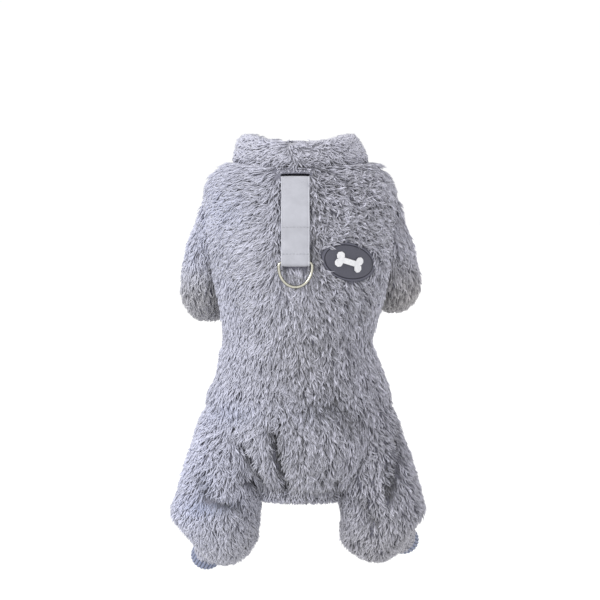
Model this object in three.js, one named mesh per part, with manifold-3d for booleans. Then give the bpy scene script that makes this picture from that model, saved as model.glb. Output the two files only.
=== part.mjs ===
// A dog's four-legged jumpsuit in long-pile plush, open and standing as an upright dog fills it.
// Millimetres, +Z up, the back of the garment towards -Y and its left side towards -X.
// The origin is the middle of the neck seam. The cloth's outer face is the foot of the pile, which stands proud of it.
import * as THREE from "three";
import { mergeVertices } from "three/addons/utils/BufferGeometryUtils.js";
import Module from "manifold-3d";

// Cloth and sewing
const CLOTH = 3; // backing and the dense foot of the pile
const SEAM_GAP = 0.3; // between pieces sewn to each other

// Torso, outside of the cloth
const BODY_LENGTH = 231; // neck seam down to the hem seam
const NECK_WIDTH = 86;
const NECK_DEPTH = 78;
const NECK_DIP = 2; // how far the seam sinks at the back and the belly
const CHEST_WIDTH = 134;
const CHEST_DEPTH = 120;
const WAIST_WIDTH = 103;
const WAIST_DEPTH = 106;
const HIP_WIDTH = 124;
const HIP_DEPTH = 108;
const HEM_WIDTH = 56;
const HEM_DEPTH = 62;

// Collar and hem, two rolled bands
const COLLAR_HEIGHT = 16; // at the middle of the back
const COLLAR_THICKNESS = 10;
const COLLAR_LEAN = 3; // how far the top leans in
const COLLAR_RISE = 3.5; // how much higher it stands at the sides
const HEM_HEIGHT = 8.5;
const HEM_THICKNESS = 6;

// Front sleeves
const SLEEVE_WIDTH = 40;
const SLEEVE_DROP = 70; // armhole down to the elbow
const SLEEVE_REACH = 64; // elbow forward to the cuff
const ARMHOLE_DOWN = 30; // neck seam down to the middle of the armhole

// Hind legs
const LEG_WIDTH = 58;
const LEG_DROP = 96; // hip down to the hock
const LEG_REACH = 32; // hock forward to the cuff
const HIP_DOWN = 178; // neck seam down to the hip

// Rib cuffs
const CUFF_LENGTH = 14;
const CUFF_WIDTH = 22;
const CUFF_WALL = 2;
const CUFF_RIBS = 12;
const RIB_RELIEF = 0.8;

// Belly placket
const PLACKET_WIDTH = 16;
const PLACKET_THICKNESS = 2;
const PLACKET_SHARE = 0.9; // of the torso's length

// Lead strap and ring
const STRAP_WIDTH = 20;
const STRAP_THICKNESS = 1.4;
const STRAP_LIFT = 2; // outer face of the cloth to the strap, over the flattened pile
const STRAP_OFFSET = -3.2; // middle of the strap from the middle of the back
const STRAP_DOUBLED = 36; // stretch sewn back on itself above the ring
const STRAP_TAIL = 9; // sewn to the inside of the back
const SLIT_DOWN = 7.5; // neck seam down to the slit
const SLIT_CLEARANCE = 0.5;
const RING_DOWN = 68.5; // neck seam down to the ring's bar
const RING_WIRE = 2.2;
const RING_CLEARANCE = 0.3; // wire to strap in the fold
const RING_SIDE = 0.6; // between the strap's edges and the ring
const RING_DROP = 17.2; // bar down to the bow, middle to middle of the wire
const RING_CORNER = 2.5;

// Badge
const BADGE_WIDTH = 39;
const BADGE_HEIGHT = 26.5;
const BADGE_THICKNESS = 2;
const BADGE_RIM = 1.6;
const BADGE_SINK = 0.5; // field below the rim
const BADGE_ACROSS = 33.7;
const BADGE_DOWN = 68.5;
const BADGE_TILT = -16; // degrees
const BONE_LENGTH = 22;
const BONE_LOBE = 3;
const BONE_SHAFT = 4;
const BONE_RELIEF = 0.8;

// Surfaces
const TORSO_COLUMNS = 32;
const TUBE_COLUMNS = 18;
const SLEEVE_STATIONS = 12;
const LEG_STATIONS = 15;
const BAND_COLUMNS = 32;
const BAND_CORNERS = 8;
const BOW_FACETS = 13; // odd, so that one lies flat at the foot of the bow
const WIRE_FACETS = 8;
const BACK_CROWDING = 0.3; // how much closer the torso's columns lie on the back than on the belly

// Torso from the neck to the hem. down is a share of BODY_LENGTH, left and right are shares of the row's width,
// and back and belly are shares of its depth, all from the middle of the neck.
const TORSO = [
  { down: 0, width: NECK_WIDTH, depth: NECK_DEPTH, left: 0.477, right: 0.523, back: 0.487, belly: 0.513 },
  { down: 0.006, width: CHEST_WIDTH, depth: CHEST_DEPTH, left: 0.373, right: 0.392, back: 0.342, belly: 0.367 },
  { down: 0.017, width: CHEST_WIDTH, depth: CHEST_DEPTH, left: 0.414, right: 0.429, back: 0.362, belly: 0.392 },
  { down: 0.035, width: CHEST_WIDTH, depth: CHEST_DEPTH, left: 0.459, right: 0.466, back: 0.392, belly: 0.425 },
  { down: 0.065, width: CHEST_WIDTH, depth: CHEST_DEPTH, left: 0.485, right: 0.489, back: 0.421, belly: 0.467 },
  { down: 0.117, width: CHEST_WIDTH, depth: CHEST_DEPTH, left: 0.496, right: 0.5, back: 0.45, belly: 0.5 },
  { down: 0.182, width: CHEST_WIDTH, depth: CHEST_DEPTH, left: 0.496, right: 0.5, back: 0.471, belly: 0.517 },
  { down: 0.26, width: CHEST_WIDTH, depth: CHEST_DEPTH, left: 0.485, right: 0.493, back: 0.483, belly: 0.517 },
  { down: 0.355, width: CHEST_WIDTH, depth: CHEST_DEPTH, left: 0.451, right: 0.459, back: 0.479, belly: 0.5 },
  { down: 0.433, width: CHEST_WIDTH, depth: CHEST_DEPTH, left: 0.418, right: 0.425, back: 0.467, belly: 0.475 },
  { down: 0.528, width: WAIST_WIDTH, depth: WAIST_DEPTH, left: 0.515, right: 0.49, back: 0.5, belly: 0.5 },
  { down: 0.576, width: WAIST_WIDTH, depth: WAIST_DEPTH, left: 0.53, right: 0.5, back: 0.491, belly: 0.486 },
  { down: 0.654, width: HIP_WIDTH, depth: HIP_DEPTH, left: 0.468, right: 0.468, back: 0.481, belly: 0.463 },
  { down: 0.71, width: HIP_WIDTH, depth: HIP_DEPTH, left: 0.5, right: 0.496, back: 0.491, belly: 0.463 },
  { down: 0.788, width: HIP_WIDTH, depth: HIP_DEPTH, left: 0.508, right: 0.508, back: 0.514, belly: 0.472 },
  { down: 0.866, width: HIP_WIDTH, depth: HIP_DEPTH, left: 0.496, right: 0.496, back: 0.528, belly: 0.454 },
  { down: 0.926, width: HIP_WIDTH, depth: HIP_DEPTH, left: 0.435, right: 0.444, back: 0.495, belly: 0.407 },
  { down: 0.97, width: HIP_WIDTH, depth: HIP_DEPTH, left: 0.343, right: 0.355, back: 0.426, belly: 0.338 },
  { down: 1, width: HEM_WIDTH, depth: HEM_DEPTH, left: 0.482, right: 0.518, back: 0.565, belly: 0.435 },
];

// Sleeves from inside the armhole to the cuff. out is a share of SLEEVE_WIDTH beyond the chest's side, fore of
// SLEEVE_REACH, down of SLEEVE_DROP below the armhole, wide and deep of SLEEVE_WIDTH. tilt is in degrees, from a level
// ring to one that faces forward.
const SLEEVE_LEFT = [
  { out: -0.525, fore: 0.06, down: -0.1, tilt: -4, wide: 0.85, deep: 1.1 },
  { out: -0.41, fore: 0.07, down: 0.03, tilt: 0, wide: 0.9, deep: 1.2 },
  { out: -0.3, fore: 0.09, down: 0.2, tilt: 0, wide: 0.9, deep: 1.18 },
  { out: -0.14, fore: 0.14, down: 0.4, tilt: 3, wide: 0.85, deep: 1.15 },
  { out: -0.02, fore: 0.195, down: 0.61, tilt: 8, wide: 0.775, deep: 1.035 },
  { out: 0.025, fore: 0.258, down: 0.79, tilt: 35, wide: 0.725, deep: 1 },
  { out: 0.012, fore: 0.453, down: 0.885, tilt: 59, wide: 0.725, deep: 0.865 },
  { out: -0.025, fore: 0.711, down: 0.935, tilt: 77, wide: 0.75, deep: 0.76 },
  { out: -0.05, fore: 0.977, down: 0.965, tilt: 84, wide: 0.675, deep: 0.665 },
];
const SLEEVE_RIGHT = [
  { out: -0.525, fore: 0.06, down: -0.14, tilt: -4, wide: 0.85, deep: 1.1 },
  { out: -0.39, fore: 0.07, down: -0.01, tilt: 0, wide: 0.9, deep: 1.2 },
  { out: -0.3, fore: 0.09, down: 0.17, tilt: 0, wide: 0.9, deep: 1.18 },
  { out: -0.14, fore: 0.14, down: 0.38, tilt: 3, wide: 0.85, deep: 1.15 },
  { out: -0.02, fore: 0.195, down: 0.58, tilt: 8, wide: 0.775, deep: 1.03 },
  { out: 0.055, fore: 0.258, down: 0.745, tilt: 35, wide: 0.725, deep: 0.98 },
  { out: 0.04, fore: 0.453, down: 0.83, tilt: 59, wide: 0.725, deep: 0.85 },
  { out: -0.01, fore: 0.711, down: 0.88, tilt: 77, wide: 0.75, deep: 0.76 },
  { out: -0.04, fore: 0.977, down: 0.91, tilt: 84, wide: 0.675, deep: 0.665 },
];

// Hind legs from inside the hip to the cuff. out is a share of LEG_WIDTH beyond the hip's side, fore of LEG_REACH,
// down of LEG_DROP below the hip, wide and deep of LEG_WIDTH, and tilt is as in the sleeves.
const LEG_LEFT = [
  { out: -0.5, fore: -0.125, down: -0.14, tilt: -6, wide: 0.9, deep: 1.1 },
  { out: -0.37, fore: -0.14, down: 0.04, tilt: -2, wide: 0.98, deep: 1.22 },
  { out: -0.267, fore: -0.16, down: 0.21, tilt: 0, wide: 0.98, deep: 1.26 },
  { out: -0.164, fore: -0.2, down: 0.396, tilt: 0, wide: 0.98, deep: 1.2 },
  { out: -0.086, fore: -0.2, down: 0.583, tilt: 2, wide: 0.98, deep: 1.1 },
  { out: -0.034, fore: -0.156, down: 0.771, tilt: 17, wide: 1.02, deep: 1.05 },
  { out: -0.08, fore: 0.06, down: 0.906, tilt: 34, wide: 0.94, deep: 0.917 },
  { out: -0.13, fore: 0.516, down: 0.9635, tilt: 51, wide: 0.74, deep: 0.69 },
  { out: -0.04, fore: 0.97, down: 0.974, tilt: 60, wide: 0.5, deep: 0.48 },
  { out: 0.01, fore: 1.28, down: 1.03, tilt: 62, wide: 0.414, deep: 0.424 },
];
const LEG_RIGHT = [
  { out: -0.5, fore: -0.125, down: -0.14, tilt: -6, wide: 0.9, deep: 1.1 },
  { out: -0.39, fore: -0.14, down: 0.04, tilt: -2, wide: 0.97, deep: 1.22 },
  { out: -0.293, fore: -0.16, down: 0.21, tilt: 0, wide: 0.97, deep: 1.26 },
  { out: -0.19, fore: -0.2, down: 0.385, tilt: 0, wide: 0.97, deep: 1.2 },
  { out: -0.103, fore: -0.2, down: 0.57, tilt: 2, wide: 0.966, deep: 1.1 },
  { out: -0.055, fore: -0.156, down: 0.75, tilt: 17, wide: 0.966, deep: 1.05 },
  { out: -0.07, fore: 0.06, down: 0.89, tilt: 34, wide: 0.92, deep: 0.917 },
  { out: -0.034, fore: 0.516, down: 0.945, tilt: 51, wide: 0.72, deep: 0.69 },
  { out: 0.05, fore: 0.97, down: 0.95, tilt: 60, wide: 0.5, deep: 0.48 },
  { out: 0.08, fore: 1.28, down: 0.98, tilt: 62, wide: 0.414, deep: 0.424 },
];

// Creases on the side that faces back. across is a share of CHEST_WIDTH from the middle and down of BODY_LENGTH,
// from the head of the crease to its foot, and deep and wide are shares of CLOTH.
const FOLDS = [
  { across: -0.133, down: 0.813, acrossFoot: -0.082, downFoot: 0.977, deep: 1.5, wide: 2 },
  { across: -0.311, down: 0.857, acrossFoot: -0.219, downFoot: 0.978, deep: 1, wide: 1.8 },
  { across: 0.197, down: 0.975, acrossFoot: 0.2, downFoot: 1, deep: 0.8, wide: 2 },
  { across: 0.139, down: 0.723, acrossFoot: 0.3, downFoot: 0.782, deep: 0.6, wide: 3.4 },
  { across: -0.522, down: 0.952, acrossFoot: -0.485, downFoot: 1.015, deep: 1.2, wide: 2 },
  { across: -0.485, down: 1.015, acrossFoot: -0.32, downFoot: 1.048, deep: 1.5, wide: 2.2 },
  { across: 0.5, down: 0.804, acrossFoot: 0.506, downFoot: 0.896, deep: 0.9, wide: 1.8 },
  { across: 0.506, down: 0.896, acrossFoot: 0.463, downFoot: 1.02, deep: 1.3, wide: 2 },
  { across: 0.325, down: 1.02, acrossFoot: 0.41, downFoot: 1.09, deep: 0.8, wide: 2 },
];

const COLOURS = {
  plush: 0xa5a5b0,
  rib: 0x6f7896,
  webbing: 0xc9cad4,
  steel: 0xc9c7bd,
  rubber: 0x55566a,
  print: 0xf2f2f6,
};

const TURN = 2 * Math.PI;
const HALF_TURN = Math.PI;
const STEP = 1e-3; // of a row or a radian, for slopes

const wasm = await Module();
wasm.setup();

// A value of the table at t rows from its head, on a smooth curve through the rows.
function smooth(rows, key, t) {
  const i = Math.max(0, Math.min(rows.length - 2, Math.floor(t)));
  const f = t - i;
  const [a, b, c, d] = [i - 1, i, i + 1, i + 2].map((k) => rows[Math.max(0, Math.min(rows.length - 1, k))][key]);
  return b + 0.5 * f * (c - a + f * (2 * a - 5 * b + 4 * c - d + f * (3 * (b - c) + d - a)));
}

// Closed rings of points, joined one to the next, as a solid. A tyre joins its last ring to its first, and anything
// else is closed by a fan at each end.
function solidOfRings(rings, isTyre) {
  const count = rings[0].length;
  const points = rings.flat();
  const faces = [];
  const joins = isTyre ? rings.length : rings.length - 1;
  for (let r = 0; r < joins; r++) {
    for (let c = 0; c < count; c++) {
      const [a, b] = [r * count + c, r * count + ((c + 1) % count)];
      const [e, f] = [a, b].map((k) => (k + count) % (rings.length * count));
      faces.push([a, e, f], [a, f, b]);
    }
  }
  if (!isTyre) {
    for (const [ring, first, flip] of [[rings[0], 0, false], [rings.at(-1), (rings.length - 1) * count, true]]) {
      const middle = ring.reduce((sum, p) => sum.add(p), new THREE.Vector3()).divideScalar(count);
      points.push(middle);
      for (let c = 0; c < count; c++) {
        const pair = [first + c, first + ((c + 1) % count)];
        faces.push([points.length - 1, ...(flip ? pair.reverse() : pair)]);
      }
    }
  }
  return solidOfFaces(points, faces);
}

// Points and triangles as a solid, turned so that its faces point out.
function solidOfFaces(points, faces) {
  const volume = faces.reduce((sum, [a, b, c]) => sum + points[a].dot(points[b].clone().cross(points[c])), 0);
  const turned = volume < 0 ? faces.map(([a, b, c]) => [a, c, b]) : faces;
  const vertProperties = new Float32Array(points.flatMap((p) => p.toArray()));
  return new wasm.Manifold(new wasm.Mesh({ numProp: 3, vertProperties, triVerts: new Uint32Array(turned.flat()) }));
}

// A three.js geometry as a solid.
function solidOfGeometry(geometry) {
  const bare = geometry.clone();
  bare.deleteAttribute("normal");
  bare.deleteAttribute("uv");
  const merged = mergeVertices(bare);
  const vertProperties = new Float32Array(merged.attributes.position.array);
  return new wasm.Manifold(new wasm.Mesh({ numProp: 3, vertProperties, triVerts: new Uint32Array(merged.index.array) }));
}

// A solid as a named mesh in its colour.
function meshOf(name, solid, colour, roughness = 1, metalness = 0) {
  const { numProp, vertProperties, triVerts, numVert } = solid.getMesh();
  const positions = new Float32Array(numVert * 3);
  for (let i = 0; i < numVert; i++) positions.set(vertProperties.subarray(i * numProp, i * numProp + 3), i * 3);
  const geometry = new THREE.BufferGeometry();
  geometry.setAttribute("position", new THREE.BufferAttribute(positions, 3));
  geometry.setIndex(new THREE.BufferAttribute(new Uint32Array(triVerts), 1));
  geometry.computeVertexNormals();
  const mesh = new THREE.Mesh(geometry, new THREE.MeshStandardMaterial({ color: colour, roughness, metalness }));
  mesh.name = name;
  return mesh;
}

// Unit normal of a surface, a function of rows and angle, pointing away from its axis.
function normalOf(surface, t, angle) {
  const along = surface(t + STEP, angle).sub(surface(t - STEP, angle));
  const around = surface(t, angle + STEP).sub(surface(t, angle - STEP));
  return around.cross(along).negate().normalize();
}

// How deep the creases press the cloth in at a point, fading out where the cloth turns from the back.
function creaseDepth(point, normal) {
  const facing = Math.max(0, -normal.y);
  return FOLDS.reduce((sum, fold) => {
    const head = new THREE.Vector2(fold.across * CHEST_WIDTH, -fold.down * BODY_LENGTH);
    const run = new THREE.Vector2(fold.acrossFoot * CHEST_WIDTH, -fold.downFoot * BODY_LENGTH).sub(head);
    const from = new THREE.Vector2(point.x, point.z).sub(head);
    const share = Math.max(0, Math.min(1, from.dot(run) / run.lengthSq()));
    const away = from.sub(run.multiplyScalar(share)).length() / (fold.wide * CLOTH);
    return sum + facing * fold.deep * CLOTH * Math.exp(-away * away);
  }, 0);
}

// A creased ring of a surface at row t, moved out along its normals.
function ringAt(surface, t, angles, outward) {
  return angles.map((angle) => {
    const point = surface(t, angle);
    const normal = normalOf(surface, t, angle);
    return point.addScaledVector(normal, outward - creaseDepth(point, normal));
  });
}

function ringsOf(surface, stations, angles, outward) {
  return stations.map((t) => ringAt(surface, t, angles, outward));
}

// Cloth of the given thickness round a hollow, open at both ends.
function shellOf(surface, stations, angles, thickness = CLOTH) {
  const outer = ringsOf(surface, stations, angles, 0);
  const inner = ringsOf(surface, stations, angles, -thickness);
  return solidOfRings([...outer, ...inner.reverse()], true);
}

function steps(count, from, to) {
  return Array.from({ length: count + 1 }, (_, i) => from + ((to - from) * i) / count);
}

const torsoRows = TORSO.map((row) => ({
  z: -row.down * BODY_LENGTH,
  left: row.left * row.width,
  right: row.right * row.width,
  back: row.back * row.depth,
  belly: row.belly * row.depth,
}));
const DIP_ROWS = 6; // rows of the torso over which the dip of the neck seam fades out

// The torso's outside: two half widths and two half depths to each row, as four quarter ellipses.
function torsoAt(t, angle) {
  const [cos, sin] = [Math.cos(angle), Math.sin(angle)];
  const dip = NECK_DIP * sin * sin * Math.max(0, 1 - t / DIP_ROWS);
  return new THREE.Vector3(
    cos * smooth(torsoRows, cos > 0 ? "right" : "left", t),
    sin * smooth(torsoRows, sin > 0 ? "belly" : "back", t),
    smooth(torsoRows, "z", t) - dip,
  );
}

// The place on the creased torso at a height, over or under the given x, with its normal. side is -1 for the back.
function torsoUnder(x, z, side = -1) {
  let [above, below] = [0, torsoRows.length - 1];
  const angleAt = (t) => side * Math.acos(Math.max(-1, Math.min(1, x / smooth(torsoRows, x > 0 ? "right" : "left", t))));
  for (let i = 0; i < 30; i++) {
    const middle = (above + below) / 2;
    if (torsoAt(middle, angleAt(middle)).z > z) above = middle;
    else below = middle;
  }
  const [point, normal] = [torsoAt(above, angleAt(above)), normalOf(torsoAt, above, angleAt(above))];
  return { point: point.addScaledVector(normal, -creaseDepth(point, normal)), normal };
}

// The outside of a tube: an ellipse at each row, tilted forward about X.
function tubeAt(rows) {
  return (t, angle) => {
    const tilt = THREE.MathUtils.degToRad(smooth(rows, "tilt", t));
    const deep = smooth(rows, "deep", t) * Math.sin(angle);
    return new THREE.Vector3(
      smooth(rows, "x", t) + smooth(rows, "wide", t) * Math.cos(angle),
      smooth(rows, "y", t) + deep * Math.cos(tilt),
      smooth(rows, "z", t) + deep * Math.sin(tilt),
    );
  };
}

// A limb's rows in millimetres. side is -1 for the left and 1 for the right.
function limbRows(table, side, sideWidth, width, reach, drop, root) {
  return table.map((row) => ({
    x: side * (sideWidth / 2 + row.out * width),
    y: row.fore * reach,
    z: -(root + row.down * drop),
    tilt: row.tilt,
    wide: (row.wide * width) / 2,
    deep: (row.deep * width) / 2,
  }));
}

const torsoAngles = steps(TORSO_COLUMNS, 0, 1)
  .slice(0, -1)
  .map((u) => HALF_TURN / 2 + TURN * u + BACK_CROWDING * Math.sin(TURN * u));
const tubeAngles = steps(TUBE_COLUMNS, 0, TURN).slice(0, -1);
const torsoStations = TORSO.map((_, i) => i);
const torsoGrown = solidOfRings(ringsOf(torsoAt, torsoStations, torsoAngles, SEAM_GAP), false);

// A limb of the garment: its cloth outside the torso, the hollow that runs on into the torso, and where it ends.
function makeLimb(rows, count) {
  const surface = tubeAt(rows);
  const stations = steps(count, 0, rows.length - 1);
  const hollow = solidOfRings(ringsOf(surface, stations, tubeAngles, -CLOTH), false);
  const grown = solidOfRings(ringsOf(surface, stations, tubeAngles, SEAM_GAP), false);
  return { cloth: shellOf(surface, stations, tubeAngles).subtract(torsoGrown), hollow, grown, rows };
}

const makeSleeve = (table, side) =>
  makeLimb(limbRows(table, side, CHEST_WIDTH, SLEEVE_WIDTH, SLEEVE_REACH, SLEEVE_DROP, ARMHOLE_DOWN), SLEEVE_STATIONS);
const makeLeg = (table, side) =>
  makeLimb(limbRows(table, side, HIP_WIDTH, LEG_WIDTH, LEG_REACH, LEG_DROP, HIP_DOWN), LEG_STATIONS);
const limbs = {
  sleeve_left: makeSleeve(SLEEVE_LEFT, -1),
  sleeve_right: makeSleeve(SLEEVE_RIGHT, 1),
  leg_left: makeLeg(LEG_LEFT, -1),
  leg_right: makeLeg(LEG_RIGHT, 1),
};

// A point and an outward direction on the back's middle line under the strap.
const strapLine = (z) => torsoUnder(STRAP_OFFSET, z);
const slit = strapLine(-SLIT_DOWN);

function makeTorso() {
  const width = STRAP_WIDTH + 2 * SLIT_CLEARANCE;
  const height = STRAP_THICKNESS + 2 * SLIT_CLEARANCE;
  const slot = new THREE.BoxGeometry(width, 6 * CLOTH, height);
  slot.rotateX(Math.atan2(-slit.normal.z, -slit.normal.y));
  slot.translate(STRAP_OFFSET, slit.point.y, slit.point.z);
  let torso = shellOf(torsoAt, torsoStations, torsoAngles).subtract(solidOfGeometry(slot));
  for (const limb of Object.values(limbs)) torso = torso.subtract(limb.hollow);
  return torso;
}

// A rolled band on a seam: an upright oval carried round the seam's ellipse. foot is the band's lower edge, and rise
// is how much higher the band stands at the sides.
function makeBand(row, foot, height, thickness, lean, dip, rise) {
  const middle = { x: (row.right - row.left) / 2, y: (row.belly - row.back) / 2 };
  const reach = { x: (row.right + row.left - CLOTH) / 2, y: (row.belly + row.back - CLOTH) / 2 };
  const square = (value) => Math.sign(value) * Math.abs(value) ** 0.8;
  const turns = steps(BAND_COLUMNS, 0, TURN).slice(0, -1);
  const corners = steps(BAND_CORNERS, 0, TURN).slice(0, -1);
  const rings = turns.map((turn) =>
    corners.map((corner) => {
      const up = (1 + square(Math.sin(corner))) / 2;
      const out = (square(Math.cos(corner)) * thickness) / 2 - lean * up;
      const tall = height + rise * Math.cos(turn) ** 2;
      return new THREE.Vector3(
        middle.x + Math.cos(turn) * (reach.x + out),
        middle.y + Math.sin(turn) * (reach.y + out),
        foot + up * tall - dip * Math.sin(turn) ** 2,
      );
    }),
  );
  return solidOfRings(rings, true);
}

function makeCollar() {
  const collar = makeBand(
    torsoRows[0], SEAM_GAP, COLLAR_HEIGHT, COLLAR_THICKNESS, COLLAR_LEAN, NECK_DIP, COLLAR_RISE,
  );
  return collar.subtract(torsoGrown);
}

function makeHem() {
  const foot = -BODY_LENGTH - SEAM_GAP - HEM_HEIGHT;
  const band = makeBand(torsoRows.at(-1), foot, HEM_HEIGHT, HEM_THICKNESS, 0, 0, 0);
  return band.subtract(limbs.leg_left.grown).subtract(limbs.leg_right.grown).subtract(torsoGrown);
}

// A ribbed tube that carries on from a limb's end, its rings level with the limb's last.
function makeCuff(rows) {
  const [before, end] = rows.slice(-2).map((row) => new THREE.Vector3(row.x, row.y, row.z));
  const run = end.clone().sub(before).normalize();
  const tilt = THREE.MathUtils.degToRad(rows.at(-1).tilt);
  const gap = SEAM_GAP / (run.y * Math.sin(tilt) - run.z * Math.cos(tilt));
  const angles = steps(2 * CUFF_RIBS, 0, TURN).slice(0, -1);
  const ring = (advance, radius, relief) =>
    angles.map((angle, i) => {
      const reach = radius - (i % 2) * relief;
      const deep = reach * Math.sin(angle);
      return new THREE.Vector3(reach * Math.cos(angle), deep * Math.cos(tilt), deep * Math.sin(tilt))
        .add(end)
        .addScaledVector(run, gap + advance);
    });
  const radius = CUFF_WIDTH / 2;
  const rings = [
    ring(0, radius, RIB_RELIEF),
    ring(CUFF_LENGTH, radius, RIB_RELIEF),
    ring(CUFF_LENGTH, radius - CUFF_WALL, 0),
    ring(0, radius - CUFF_WALL, 0),
  ];
  return solidOfRings(rings, true);
}

// A plain strip of doubled cloth down the middle of the belly.
function makePlacket() {
  const layer = ringsOf(torsoAt, torsoStations, torsoAngles, SEAM_GAP + PLACKET_THICKNESS);
  const strip = new THREE.BoxGeometry(PLACKET_WIDTH, HIP_DEPTH, PLACKET_SHARE * BODY_LENGTH);
  strip.translate(0, HIP_DEPTH / 2, -BODY_LENGTH / 2);
  return solidOfRings(layer, false).subtract(torsoGrown).intersect(solidOfGeometry(strip));
}

const EYE = RING_WIRE / 2 + RING_CLEARANCE; // radius of the fold round the ring's bar
const BAR_LIFT = SEAM_GAP + STRAP_THICKNESS + EYE; // cloth to the middle of the bar
const bar = strapLine(-RING_DOWN);
const barCentre = bar.point.clone().addScaledVector(bar.normal, BAR_LIFT);

// The strap seen from its edge: out of the slit, down the back, round the ring's bar and up again behind itself.
// The two layers are sewn together, so they are one body with an eye at the foot.
function makeStrap() {
  const flat = (v) => new THREE.Vector2(v.y, v.z);
  const outwardAt = (z, distance) => {
    const { point, normal } = strapLine(z);
    return flat(point.addScaledVector(normal, distance));
  };
  // Inside the back the strap's edges are what comes near the wall, as the wall bends in on both sides.
  const edgeAt = (z) => torsoUnder(STRAP_OFFSET - STRAP_WIDTH / 2, z);
  const inwardAt = (z, distance) => {
    const { point, normal } = edgeAt(z);
    return flat(point.addScaledVector(normal, -CLOTH - SEAM_GAP - distance));
  };
  const top = slit.point.z;
  const out = flat(slit.normal).normalize();
  const up = new THREE.Vector2(out.y, -out.x);
  const sag = slit.point.y - edgeAt(top).point.y;
  // In the slit: over or under the strap's middle, and out from the cloth's outer face.
  const inSlit = (side, distance) =>
    flat(slit.point).addScaledVector(up, (side * STRAP_THICKNESS) / 2).addScaledVector(out, distance);
  const front = STRAP_LIFT + STRAP_THICKNESS;
  const frontAtBar = BAR_LIFT + EYE + STRAP_THICKNESS;
  const rise = (z) => Math.exp(-(z + RING_DOWN) / (3 * STRAP_THICKNESS));
  const under = top - 2 * STRAP_THICKNESS;
  const shape = [];
  shape.push(inSlit(1, sag - CLOTH - SEAM_GAP - STRAP_THICKNESS));
  shape.push(inSlit(1, front - STRAP_THICKNESS / 2));
  shape.push(inSlit(0, front));
  for (const z of steps(12, under, -RING_DOWN)) shape.push(outwardAt(z, front + (frontAtBar - front) * rise(z)));
  const outward = Math.atan2(bar.normal.z, bar.normal.y);
  for (const turn of steps(8, 0, HALF_TURN).slice(1, -1)) {
    const [angle, radius] = [outward + turn, EYE + STRAP_THICKNESS];
    shape.push(flat(barCentre).add(new THREE.Vector2(radius * Math.cos(angle), radius * Math.sin(angle))));
  }
  const seamTop = -RING_DOWN + STRAP_DOUBLED;
  for (const z of steps(6, -RING_DOWN, seamTop)) shape.push(outwardAt(z, SEAM_GAP));
  for (const z of steps(4, seamTop + STRAP_THICKNESS, under)) shape.push(outwardAt(z, STRAP_LIFT));
  shape.push(inSlit(-1, SEAM_GAP));
  shape.push(inSlit(-1, sag - CLOTH - SEAM_GAP));
  shape.push(inwardAt(top - STRAP_TAIL, 0));
  shape.push(inwardAt(top - STRAP_TAIL, STRAP_THICKNESS));
  const outline = new THREE.Shape(shape);
  outline.holes.push(new THREE.Path().absarc(barCentre.y, barCentre.z, EYE, 0, TURN));
  const geometry = new THREE.ExtrudeGeometry(outline, { depth: STRAP_WIDTH, bevelEnabled: false, curveSegments: 8 });
  geometry.translate(0, 0, -STRAP_WIDTH / 2);
  // The shape's own x and y are the part's Y and Z, and its depth is X.
  geometry.applyMatrix4(new THREE.Matrix4().set(0, 0, 1, STRAP_OFFSET, 1, 0, 0, 0, 0, 1, 0, 0, 0, 0, 0, 1));
  return solidOfGeometry(geometry);
}

// The ring in its own plane, round its middle line: a straight bar, two rounded corners and a half-round bow.
function makeRing() {
  const half = STRAP_WIDTH / 2 + RING_SIDE + RING_WIRE / 2;
  const arc = (x, z, radius, from, to, count) =>
    steps(count, from, to).map((turn) => new THREE.Vector2(x + radius * Math.cos(turn), z + radius * Math.sin(turn)));
  const loop = [
    ...arc(half - RING_CORNER, -RING_CORNER, RING_CORNER, HALF_TURN / 2, 0, 3),
    ...arc(0, half - RING_DROP, half, 0, -HALF_TURN, BOW_FACETS),
    ...arc(RING_CORNER - half, -RING_CORNER, RING_CORNER, HALF_TURN, HALF_TURN / 2, 3),
  ];
  const turns = steps(WIRE_FACETS, 0, TURN).slice(0, -1);
  const rings = loop.map((p, i) => {
    const run = loop[(i + 1) % loop.length].clone().sub(loop.at(i - 1)).normalize();
    return turns.map((turn) => {
      const out = (RING_WIRE / 2) * Math.cos(turn + HALF_TURN / WIRE_FACETS);
      const rise = (RING_WIRE / 2) * Math.sin(turn + HALF_TURN / WIRE_FACETS);
      return new THREE.Vector3(STRAP_OFFSET + p.x + run.y * out, barCentre.y + rise, barCentre.z + p.y - run.x * out);
    });
  });
  return solidOfRings(rings, true);
}

// A place on the badge's bed: across and up along the badge, raised off the cloth.
function onBadge(across, up, height) {
  const tilt = THREE.MathUtils.degToRad(BADGE_TILT);
  const x = BADGE_ACROSS + across * Math.cos(tilt) - up * Math.sin(tilt);
  const z = -BADGE_DOWN + across * Math.sin(tilt) + up * Math.cos(tilt);
  const { point, normal } = torsoUnder(x, z);
  return point.addScaledVector(normal, SEAM_GAP + height);
}

// An oval on the badge's bed from rows of inset and height.
function makeOval(rows) {
  const rings = rows.map(({ share, inset, height }) =>
    tubeAngles.map((angle) =>
      onBadge(
        (share * BADGE_WIDTH * 0.5 - inset) * Math.cos(angle),
        (share * BADGE_HEIGHT * 0.5 - inset) * Math.sin(angle),
        height,
      ),
    ),
  );
  return solidOfRings(rings, false);
}

function makeBadge() {
  const field = BADGE_THICKNESS - BADGE_SINK;
  const oval = makeOval([
    { share: 0.05, inset: 0, height: 0 },
    { share: 0.5, inset: 0, height: 0 },
    { share: 1, inset: 0, height: 0 },
    { share: 1, inset: 0, height: BADGE_THICKNESS },
    { share: 1, inset: BADGE_RIM, height: BADGE_THICKNESS },
    { share: 1, inset: BADGE_RIM + BADGE_SINK, height: field },
    { share: 0.5, inset: 0, height: field },
    { share: 0.05, inset: 0, height: field },
  ]);
  return oval.subtract(torsoGrown);
}

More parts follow.
